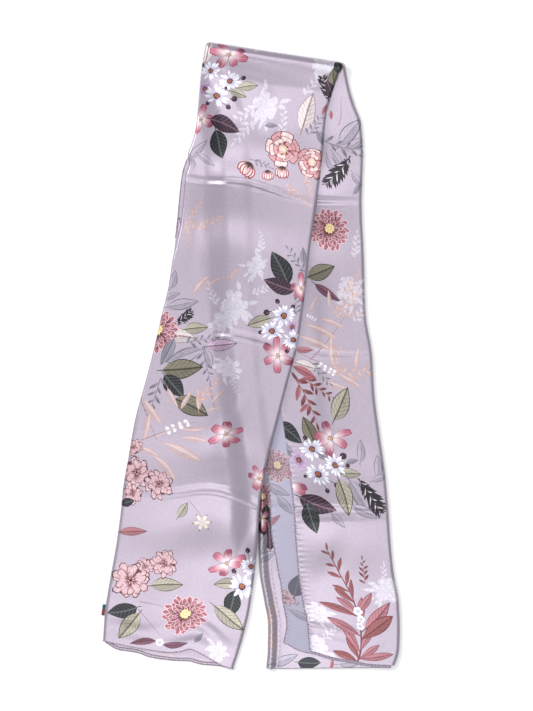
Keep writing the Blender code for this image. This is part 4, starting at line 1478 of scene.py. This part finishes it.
def printed_colour(nodes, spot):
    """The print: petals shaded and streaked along their length, veined leaves, washes, speckles."""
    t, v, kind = nodes.separate(nodes.attribute("print_place", "Vector"))
    base = nodes.attribute("print_base")
    tip = nodes.attribute("print_tip")
    uneven = nodes.noise(spot, 0.35, 3.0, 0.6)
    fine = nodes.noise(spot, 1.6, 3.0, 0.65)
    side = nodes.math("ABSOLUTE", v)
    along_strokes = nodes.combine(nodes.times(t, 1.3), nodes.times(v, 4.5), kind)
    streak = nodes.noise(along_strokes, 2.0, 3.0, 0.6)
    petal = nodes.plus(nodes.ramp(t, 0.05, 0.85, -0.05, 1.0),
                       nodes.times(nodes.math("SUBTRACT", streak, 0.5), 1.5), clamp=True)
    petal = nodes.times(petal, nodes.ramp(side, 0.0, 0.14, 0.72, 1.0))
    ribs = nodes.math("FRACT", nodes.math("SUBTRACT", nodes.times(t, 7.5), nodes.times(side, 1.7)))
    ribs = nodes.ramp(ribs, 0.72, 0.98, 0.0, 0.75)
    midrib = nodes.ramp(side, 0.05, 0.13, 0.95, 0.0)
    veins = nodes.math("MAXIMUM", midrib, nodes.times(ribs, nodes.ramp(uneven, 0.3, 0.6, 0.5, 1.0)))
    veins = nodes.plus(veins, nodes.ramp(fine, 0.5, 0.8, 0.0, 0.4), clamp=True)
    wash = nodes.ramp(uneven, 0.35, 0.7)
    speckle = nodes.ramp(fine, 0.45, 0.6)
    part = nodes.times(petal, is_kind(nodes, kind, PETAL))
    for pattern, wanted in ((veins, LEAF), (wash, SOFT), (speckle, SPECKLE)):
        part = nodes.plus(part, nodes.times(pattern, is_kind(nodes, kind, wanted)))
    colour = nodes.mix(part, base, tip)
    tone = nodes.plus(nodes.ramp(uneven, 0.3, 0.7, 0.95, 1.045), nodes.ramp(fine, 0.3, 0.7, -0.03, 0.03))
    brushed = nodes.times(nodes.ramp(streak, 0.36, 0.64, -BRUSHED, BRUSHED),
                          nodes.math("GREATER_THAN", kind, 0.5))
    lit_half = nodes.times(nodes.ramp(v, -0.08, 0.08, -LEAF_HALVES, LEAF_HALVES),
                           is_kind(nodes, kind, LEAF))
    tone = nodes.plus(tone, nodes.plus(brushed, lit_half))
    return nodes.mix(1.0, colour, nodes.combine(tone, tone, tone), "MULTIPLY")


FLOAT_STEP = 0.8            # from one line of the satin's floats to the next


def weave(nodes, spot):
    """Satin's floats: fine lines along the cloth, with faint unevenness."""
    x, y, z = nodes.separate(spot)
    lines = nodes.math("SINE", nodes.times(x, 2.0 * math.pi / FLOAT_STEP))
    slubs = nodes.noise(nodes.combine(x, nodes.times(y, 0.12), z), 0.9, 2.0)
    return nodes.plus(nodes.times(lines, 0.12), slubs)


THREAD_SHINE = 0.45         # metallic: dyed silk tints the light that it mirrors


def satin(name, tint, roughness, sheen, dull=0.0):
    """Printed silk satin; tint and dull are for its reverse."""
    nodes = Nodes(name)
    spot = nodes.place()
    colour = printed_colour(nodes, spot)
    if dull:
        colour = nodes.mix(dull, colour, tint)
    nodes.link(colour, nodes.shader.inputs["Base Color"])
    nodes.set({"Roughness": roughness, "Metallic": THREAD_SHINE, "Specular IOR Level": 0.4,
               "Anisotropic": 0.5, "Sheen Weight": sheen, "Sheen Roughness": 0.4})
    nodes.link(nodes.bump(weave(nodes, spot), 0.25, 0.00012), nodes.shader.inputs["Normal"])
    return nodes.material


def hem_material():
    """The rolled edge with its hand stitches: they are colours on the mesh, over the silk's."""
    nodes = Nodes("rolled_hem")
    spot = nodes.place()
    fine = nodes.noise(spot, 1.2, 3.0, 0.6)
    colour = nodes.mix(nodes.ramp(fine, 0.35, 0.7, 0.0, 0.5), nodes.attribute("hem_colour"), HEM_SHADE)
    nodes.link(colour, nodes.shader.inputs["Base Color"])
    nodes.set({"Roughness": 0.5, "Sheen Weight": 0.15})
    twist = nodes.plus(fine, nodes.noise(spot, 4.0, 2.0, 0.6))
    nodes.link(nodes.bump(twist, 0.4, 0.0002), nodes.shader.inputs["Normal"])
    return nodes.material


# ---------------------------------------------------------------- rolled hems
STITCH_STEP = 5.2
STITCH_HALF = 0.62          # half a stitch's width
PINK_SHARE = 0.45           # of the stitches
HEM_SIDES = 10
HEM_STEP = 0.9              # from one ring of points to the next


def rolled_hem(name, path, seed):
    """A tube along path, puckered at each stitch; path is many points, in millimetres."""
    draw = random.Random(seed)
    path = np.asarray(path)
    gaps = np.linalg.norm(np.diff(path, axis=0), axis=1)
    run = np.concatenate([[0.0], np.cumsum(gaps)])
    count = max(8, round(run[-1] / HEM_STEP))
    at = np.linspace(0.0, run[-1], count)
    centre = np.stack([np.interp(at, run, path[:, i]) for i in range(3)], axis=1)
    ahead = np.gradient(centre, axis=0)
    ahead /= np.linalg.norm(ahead, axis=1)[:, None]
    side = np.cross(ahead, (0.0, 0.0, 1.0))
    side /= np.maximum(np.linalg.norm(side, axis=1), 1e-6)[:, None]
    up = np.cross(side, ahead)
    stitches = np.arange(2.0, run[-1], STITCH_STEP)
    stitches = stitches + np.array([draw.uniform(-0.9, 0.9) for stitch in stitches])
    depth = np.array([draw.uniform(0.5, 1.0) for stitch in stitches])
    away = at[:, None] - stitches[None, :]
    pinch = np.sum(depth * np.exp(-(away / 0.75) ** 2), axis=1)
    wobble = 0.06 * np.sin(at / 3.1 + draw.uniform(0, 6)) + 0.05 * np.sin(at / 1.7)
    thick = HEM_RADIUS * (1.04 + wobble - 0.2 * np.clip(pinch, 0.0, 1.0))
    verts, faces, tints = [], [], []
    pink = np.array([draw.random() < PINK_SHARE for stitch in stitches])
    nearest = np.argmin(np.abs(away), axis=1)
    for i in range(count):
        for k in range(HEM_SIDES):
            angle = 2.0 * math.pi * k / HEM_SIDES
            slant = 0.7 * math.cos(angle)
            near = abs(at[i] - stitches[nearest[i]] - slant) < STITCH_HALF and math.sin(angle) > -0.3
            thread = STITCH_PINK if pink[nearest[i]] else STITCH_GREY
            verts.append(centre[i] + thick[i] * (math.cos(angle) * side[i] + math.sin(angle) * up[i]))
            tints.append(thread if near else HEM)
    for i in range(count - 1):
        for k in range(HEM_SIDES):
            a, b = i * HEM_SIDES + k, i * HEM_SIDES + (k + 1) % HEM_SIDES
            faces.append((a, b, b + HEM_SIDES, a + HEM_SIDES))
    faces.append(tuple(range(HEM_SIDES)))
    faces.append(tuple(range((count - 1) * HEM_SIDES, count * HEM_SIDES))[::-1])
    mesh = bpy.data.meshes.new(name)
    mesh.from_pydata([tuple(v * MM) for v in verts], [], faces)
    mesh.update()
    bm = bmesh.new()
    bm.from_mesh(mesh)
    bmesh.ops.recalc_face_normals(bm, faces=bm.faces)
    bm.to_mesh(mesh)
    bm.free()
    mesh.shade_smooth()
    paint(mesh, "hem_colour", "POINT", tints)
    return put_in_scene(name, mesh)


# ---------------------------------------------------------------- the pieces
def sides(left, right, start, end, step=12.0):
    """An outline from two functions of the length along: counter-clockwise."""
    run = np.linspace(start, end, max(2, round((end - start) / step)))
    return ([(float(right(s)), float(s)) for s in run] + [(float(left(s)), float(s)) for s in run[::-1]])


SHEET_START = 1.2           # a sheet starts inside its rolled hem
HIDDEN_GRID = 4.0           # spacing of points on hidden printed layers
PLAIN_GRID = 6.0            # and on one without print
LEFT_FOLD = -0.85 * FOLD_ARC                # a top sheet's edges, round the folds
RIGHT_FOLD = FLAT_WIDTH + 0.95 * FOLD_ARC
over_end = over.length + TURN_LENGTH - 0.5
under_end = under.length - 0.5

satin_right = satin("printed_satin", REVERSE, 0.3, 0.06)
satin_wrong = satin("satin_reverse", REVERSE, 0.5, 0.15, 0.25)
hem_silk = hem_material()
hidden_print = scatter(44, (8, 186), (10, 900), 5)


def dress(piece, node, material):
    piece.data.materials.append(material)
    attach(piece, "root")
    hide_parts(node)


# Upper half, top layer.
over_print = print_shapes(OVER_PRINT, to_over, 1)
over_print += print_shapes(scatter(2, (20, 180), (898, 912), 9), already_flat, 2)
over_outline = sides(lambda s: LEFT_FOLD, lambda s: RIGHT_FOLD, SHEET_START, over_end)
over_sheet = cloth("over_sheet", over_surface, over_outline, GRID, over_print, GROUND)

# Upper half, hidden layers, from the lowest: height, distance of the end from the open end,
# distances of the edges from the panel's, whether it faces down, whether it peeps out at the left.
HIDDEN_LAYERS = (
    (0.15, 1.6, 1.6, 3.0, True, False),
    (1.9, 5.1, 1.4, 4.5, False, False),
    (3.6, 9.6, 3.4, 5.0, False, True),
)


def layer_surface(height, left, right, down, peeps):
    def surface(u, s):
        width = over.section(np.minimum(s, over.length))[2]
        start = left + (side_inset(s) if peeps else 0.0)
        part = u / FLAT_WIDTH
        part = 1.0 - part if down else part
        return over_place(start + (width - right - start) * part, np.full(np.shape(u), height), s, HIDDEN_END)
    return surface


layers = []
for number, (height, end, left, right, down, peeps) in enumerate(HIDDEN_LAYERS):
    shapes = [] if peeps else print_shapes(hidden_print, already_flat, 3 + number)
    outline = sides(lambda s: 0.0, lambda s: FLAT_WIDTH, end, over_end)
    spacing, ground = (PLAIN_GRID, STRIP) if peeps else (HIDDEN_GRID, GROUND)
    surface = layer_surface(height, left, right, down, peeps)
    layers.append(cloth("over_layer", surface, outline, spacing, shapes, ground))
over_layers = layers[0]
over_layers.name = "over_layers"
with bpy.context.temp_override(active_object=over_layers, selected_editable_objects=layers):
    bpy.ops.object.join()

# Lower half.
under_print = print_shapes(UNDER_PRINT, to_under, 21)
HEM_EDGE = HEM_ROOM - 0.5
under_outline = sides(lambda s: under_u(free_hem(1, s) + HEM_EDGE, s), lambda s: RIGHT_FOLD,
                      END_BACK + SHEET_START, under_end)
under_sheet = cloth("under_sheet", under_surface, under_outline, GRID, under_print, GROUND)

REVERSE_PRINT = (
    ("pale_dahlia", 277, 466, 24, 0),
    ("pencil", 277, 490, 40, 320),
    ("pencil", 285, 505, 36, 310),
    ("brick", 274, 520, 26, 40),
    ("carnation", 286, 599, 20, 0),
    ("dark", 297, 586, 44, 70),
    ("pencil", 302, 618, 40, 330),
)
STRIP_SHOWS = 75.0          # how far across layer 2 shows
inner_print = print_shapes(REVERSE_PRINT, to_under, 31)
inner_outline = sides(lambda s: under_u(free_hem(2, s) + HEM_EDGE, s), lambda s: FLAT_WIDTH - FOLD_ARC - 1.0,
                      SHEET_START, under_end)
under_inner_sheet = cloth("under_inner_sheet", inner_surface, inner_outline, GRID, inner_print, REVERSE,
                          STRIP_SHOWS)

FOLD_PRINT = (
    ("dahlia", 262, 497, 20, 0),
    # The next two dark leaves are print, and they also stand for painted shade in the valley beside the
    # left-hand fold.
    ("dark", 265, 520, 44, 96),
    ("plum", 270, 536, 40, 84),
    ("cosmos", 262, 518, 18, 80),
    ("pencil", 263, 544, 34, 80),
    ("pencil", 266, 556, 34, 30),
    ("sprig", 270, 612, 34, 80),
    ("sprig", 272, 636, 34, 100),
    ("pencil", 285, 660, 40, 10),
    ("dark", 309, 663, 34, 350),
    ("brick", 332, 664, 18, 80),
    ("pencil", 352, 662, 40, 5),
    ("brick", 386, 660, 30, 40),
)


def base_surface(u, s):
    """Layers 3 and 4: the top, round the left-hand fold, and the underside."""
    top = fold_surface(np.maximum(u, -PUFF_ARC), s)
    below = under_place(PUFF_REACH + np.maximum(-PUFF_ARC - u, 0.0), np.zeros(np.shape(u)), s, False)
    return np.where((u < -PUFF_ARC)[..., None], below, top)


base_print = print_shapes(FOLD_PRINT, to_fold, 41)
below = [(name, -u, s, size, turn) for name, u, s, size, turn in scatter(54, (14, 178), (10, 880), 8)]
base_print += print_shapes(below, already_flat, 6)
BELOW_INSET = 2.5           # the base's sheet stops this far inside the panel's edge underneath
TOP_INSET = 6.0             # and on top


def base_width(s):
    """Cloth from the puffed fold's outermost line to the panel's far edge."""
    return PUFF_ARC + under.section(s)[2] - PUFF_REACH


base_outline = sides(lambda s: BELOW_INSET - base_width(s), lambda s: base_width(s) - TOP_INSET,
                     SHEET_START, under_end)
under_base_sheet = cloth("under_base_sheet", base_surface, base_outline, HIDDEN_GRID, base_print, GROUND)

# Rolled hems.
HEM_POINTS = 400
HEM_MARGIN = 5.0            # an end hem of the hidden layers stops this far inside the panel
MID_LAYER = 1.4             # height of the second layer
MID_LIFT = 1.1              # its hem's middle above that
MID_BACK = 3.5              # how far its hem lies behind the first
HEM_DROP = 0.35             # the top hem hangs this far below the sheet's own line
SIDE_HEM_PLACE = (1.2, 2.1) # across and height


def even(value):
    """The same value for every point of a hem's path."""
    return np.full(HEM_POINTS, value)


def over_hem(name, height, along, seed):
    across = np.linspace(HEM_MARGIN, float(over.section(along)[2]) - HEM_MARGIN, HEM_POINTS)
    return rolled_hem(name, over_place(across, even(height), even(along), HIDDEN_END), seed)


end_share = THICK_OVER_END / THICK_OVER
hem_over_low = over_hem("hem_over_low", HEM_RADIUS / end_share, HEM_RADIUS, 1)
hem_over_mid = over_hem("hem_over_mid", MID_LAYER + MID_LIFT / end_share, HEM_RADIUS + MID_BACK, 2)
top_reach = 0.2 * FOLD_ARC
top_line = np.linspace(-top_reach, FLAT_WIDTH + top_reach, HEM_POINTS)
top_path = over_surface(top_line, even(HEM_RADIUS)) - (0.0, 0.0, HEM_DROP)
hem_over_top = rolled_hem("hem_over_top", top_path, 3)

side_across, side_height = SIDE_HEM_PLACE
side_path = over_place(even(side_across), even(side_height), np.linspace(*SIDE_HEM, HEM_POINTS), HIDDEN_END)
hem_over_side = rolled_hem("hem_over_left", side_path, 4)


def under_side_hem(name, index, height, back, seed):
    run = np.linspace(back + HEM_RADIUS, FREE_HEM_RUN, HEM_POINTS)
    across = free_hem(index, run) + HEM_RADIUS
    return rolled_hem(name, under_place(across, height(across) + HEM_LIFT, run, True), seed)


def under_end_hem(name, index, low, back, seed):
    start = free_hem(index, back) + 2.0 * HEM_RADIUS
    across = np.linspace(start, under_open - FOLD_REACH, HEM_POINTS)
    return rolled_hem(name, under_place(across, even(low + HEM_LIFT), even(back + HEM_RADIUS), True), seed)


HEM_LIFT = 0.3 + HEM_RADIUS     # a hem's middle above the layer that it lies on
under_open = float(under.section(0.0)[2])
hem_side_1 = under_side_hem("hem_under_left_1", 1, lambda x: np.full(x.shape, THICK_INNER), END_BACK, 5)
hem_side_2 = under_side_hem("hem_under_left_2", 2, base_height, 0.0, 6)
hem_end_1 = under_end_hem("hem_under_1", 1, THICK_INNER, END_BACK, 7)
hem_end_2 = under_end_hem("hem_under_2", 2, THICK_BASE, 0.0, 8)
low_across = np.linspace(PUFF_REACH, under_open - FOLD_REACH, HEM_POINTS)
low_path = under_place(low_across, even(HEM_RADIUS), even(HEM_RADIUS), False)
hem_end_low = rolled_hem("hem_under_low", low_path, 9)

for piece, node in ((hem_over_low, "hem_over_end_low"), (hem_over_mid, "hem_over_end_mid"),
                    (hem_over_top, "hem_over_end_top"), (hem_over_side, "hem_over_side"),
                    (hem_side_1, "hem_under_side_1"), (hem_side_2, "hem_under_side_2"),
                    (hem_end_1, "hem_under_end_1"), (hem_end_2, "hem_under_end_2"),
                    (hem_end_low, "hem_under_end_low")):
    dress(piece, node, hem_silk)

dress(over_sheet, "over_face", satin_right)
dress(over_layers, "over_core", satin_right)
dress(under_sheet, "under_face", satin_right)
dress(under_inner_sheet, "under_inner", satin_wrong)
dress(under_base_sheet, "under_base", satin_right)

# The small woven tab in the left-hand edge.
LABEL_SIZE = (4.2, 16.0, 0.8)
LABEL_ALONG = 48.0
LABEL_HEIGHT = 2.6
LABEL_GAP = 0.3             # between the tab and the cloth's edge
LABEL_TURN = math.radians(2.0)
LABEL_SPLIT = 0.1           # where its two colours meet, as a part of its length


def make_label():
    mesh = bpy.data.meshes.new("label")
    bm = bmesh.new()
    bmesh.ops.create_cube(bm, size=1.0)
    bmesh.ops.scale(bm, vec=LABEL_SIZE, verts=bm.verts)
    bmesh.ops.bevel(bm, geom=bm.edges, offset=0.3, segments=3, profile=0.5, affect="EDGES")
    long = [e for e in bm.edges if abs(e.verts[0].co.y - e.verts[1].co.y) > 5.0]
    bmesh.ops.subdivide_edges(bm, edges=long, cuts=20, use_grid_fill=True)
    for vert in bm.verts:
        vert.co.z += 0.25 * math.sin(vert.co.y * 0.5 + vert.co.x * 0.4)
    bm.to_mesh(mesh)
    bm.free()
    split = LABEL_SPLIT * LABEL_SIZE[1]
    paint(mesh, "hem_colour", "POINT", [TEAL if v.co.y > split else LABEL_RED for v in mesh.vertices])
    mesh.transform(Matrix.Diagonal((MM, MM, MM, 1.0)))
    mesh.shade_smooth()
    made = put_in_scene("label", mesh)
    across = -LABEL_GAP - LABEL_SIZE[0] / 2.0
    middle = over_place(np.array([across]), np.array([LABEL_HEIGHT]), np.array([LABEL_ALONG]), OVER_END)[0]
    forward = over.section(LABEL_ALONG)[3]
    made.location = tuple(middle * MM)
    made.rotation_euler = (0.0, 0.0, math.atan2(-forward[0], forward[1]) + LABEL_TURN)
    return made


def woven_material():
    nodes = Nodes("woven_label")
    x, y, _ = nodes.separate(nodes.place())
    threads = nodes.plus(nodes.math("SINE", nodes.times(y, 12.0)), nodes.math("SINE", nodes.times(x, 9.0)))
    shade = nodes.ramp(threads, -1.0, 1.0, 0.8, 1.15)
    colour = nodes.mix(1.0, nodes.attribute("hem_colour"), nodes.combine(shade, shade, shade), "MULTIPLY")
    nodes.link(colour, nodes.shader.inputs["Base Color"])
    nodes.set({"Roughness": 0.75})
    nodes.link(nodes.bump(threads, 0.5, 0.0001), nodes.shader.inputs["Normal"])
    return nodes.material


dress(make_label(), "label_tab", woven_material())

# ---------------------------------------------------------------- floor, light and camera
# Metres.
FLOOR_SIZE = 30.0
FLOOR_DROP = 0.0002
WINDOW = (-2.4, 1.6, 2.2)
PANEL_HEIGHT = 4.2
PANEL_WIDTH = 3.2
CAMERA_HEIGHT = 4.0
SENSOR = 36.0


def make_floor():
    bpy.ops.mesh.primitive_plane_add(size=FLOOR_SIZE, location=(0.0, 0.0, -FLOOR_DROP))
    floor = bpy.context.object
    floor.name = "floor"
    nodes = Nodes("white_table")
    nodes.set({"Base Color": (0.96, 0.96, 0.965, 1.0), "Roughness": 1.0, "Specular IOR Level": 0.0})
    floor.data.materials.append(nodes.material)


def soft_light(name, place, power, size, length=None):
    """A disc aimed at the scarf's middle or, with a length, a level panel that the satin mirrors."""
    data = bpy.data.lights.new(name, "AREA")
    data.shape = "RECTANGLE" if length else "DISK"
    data.size = size
    data.energy = power
    lamp = put_in_scene(name, data)
    lamp.location = place
    if length:
        data.size_y = length
    else:
        lamp.rotation_euler = (-Vector(place)).to_track_quat("-Z", "Y").to_euler()


def set_world(strength):
    world = bpy.data.worlds.new("studio")
    world.use_nodes = True
    background = world.node_tree.nodes["Background"]
    background.inputs["Color"].default_value = (0.97, 0.98, 1.0, 1.0)
    background.inputs["Strength"].default_value = strength
    bpy.context.scene.world = world


make_floor()
set_world(0.55)
soft_light("window", WINDOW, 84.0, 1.9)
soft_light("panel_top", (0.0, 0.88, PANEL_HEIGHT), 34.0, PANEL_WIDTH, 0.45)
soft_light("panel_bottom", (0.0, -0.95, PANEL_HEIGHT), 42.0, PANEL_WIDTH, 0.6)

middle_x, middle_y = from_photo(PHOTO_SIZE[0] / 2.0, PHOTO_SIZE[1] / 2.0)
camera = put_in_scene("camera", bpy.data.cameras.new("camera"))
camera.data.sensor_width = SENSOR
camera.data.lens = SENSOR * CAMERA_HEIGHT / (PHOTO_SIZE[1] * PIXEL * MM)
camera.location = (middle_x * MM, middle_y * MM, CAMERA_HEIGHT)
bpy.context.scene.camera = camera
bpy.context.scene.view_settings.view_transform = "Standard"
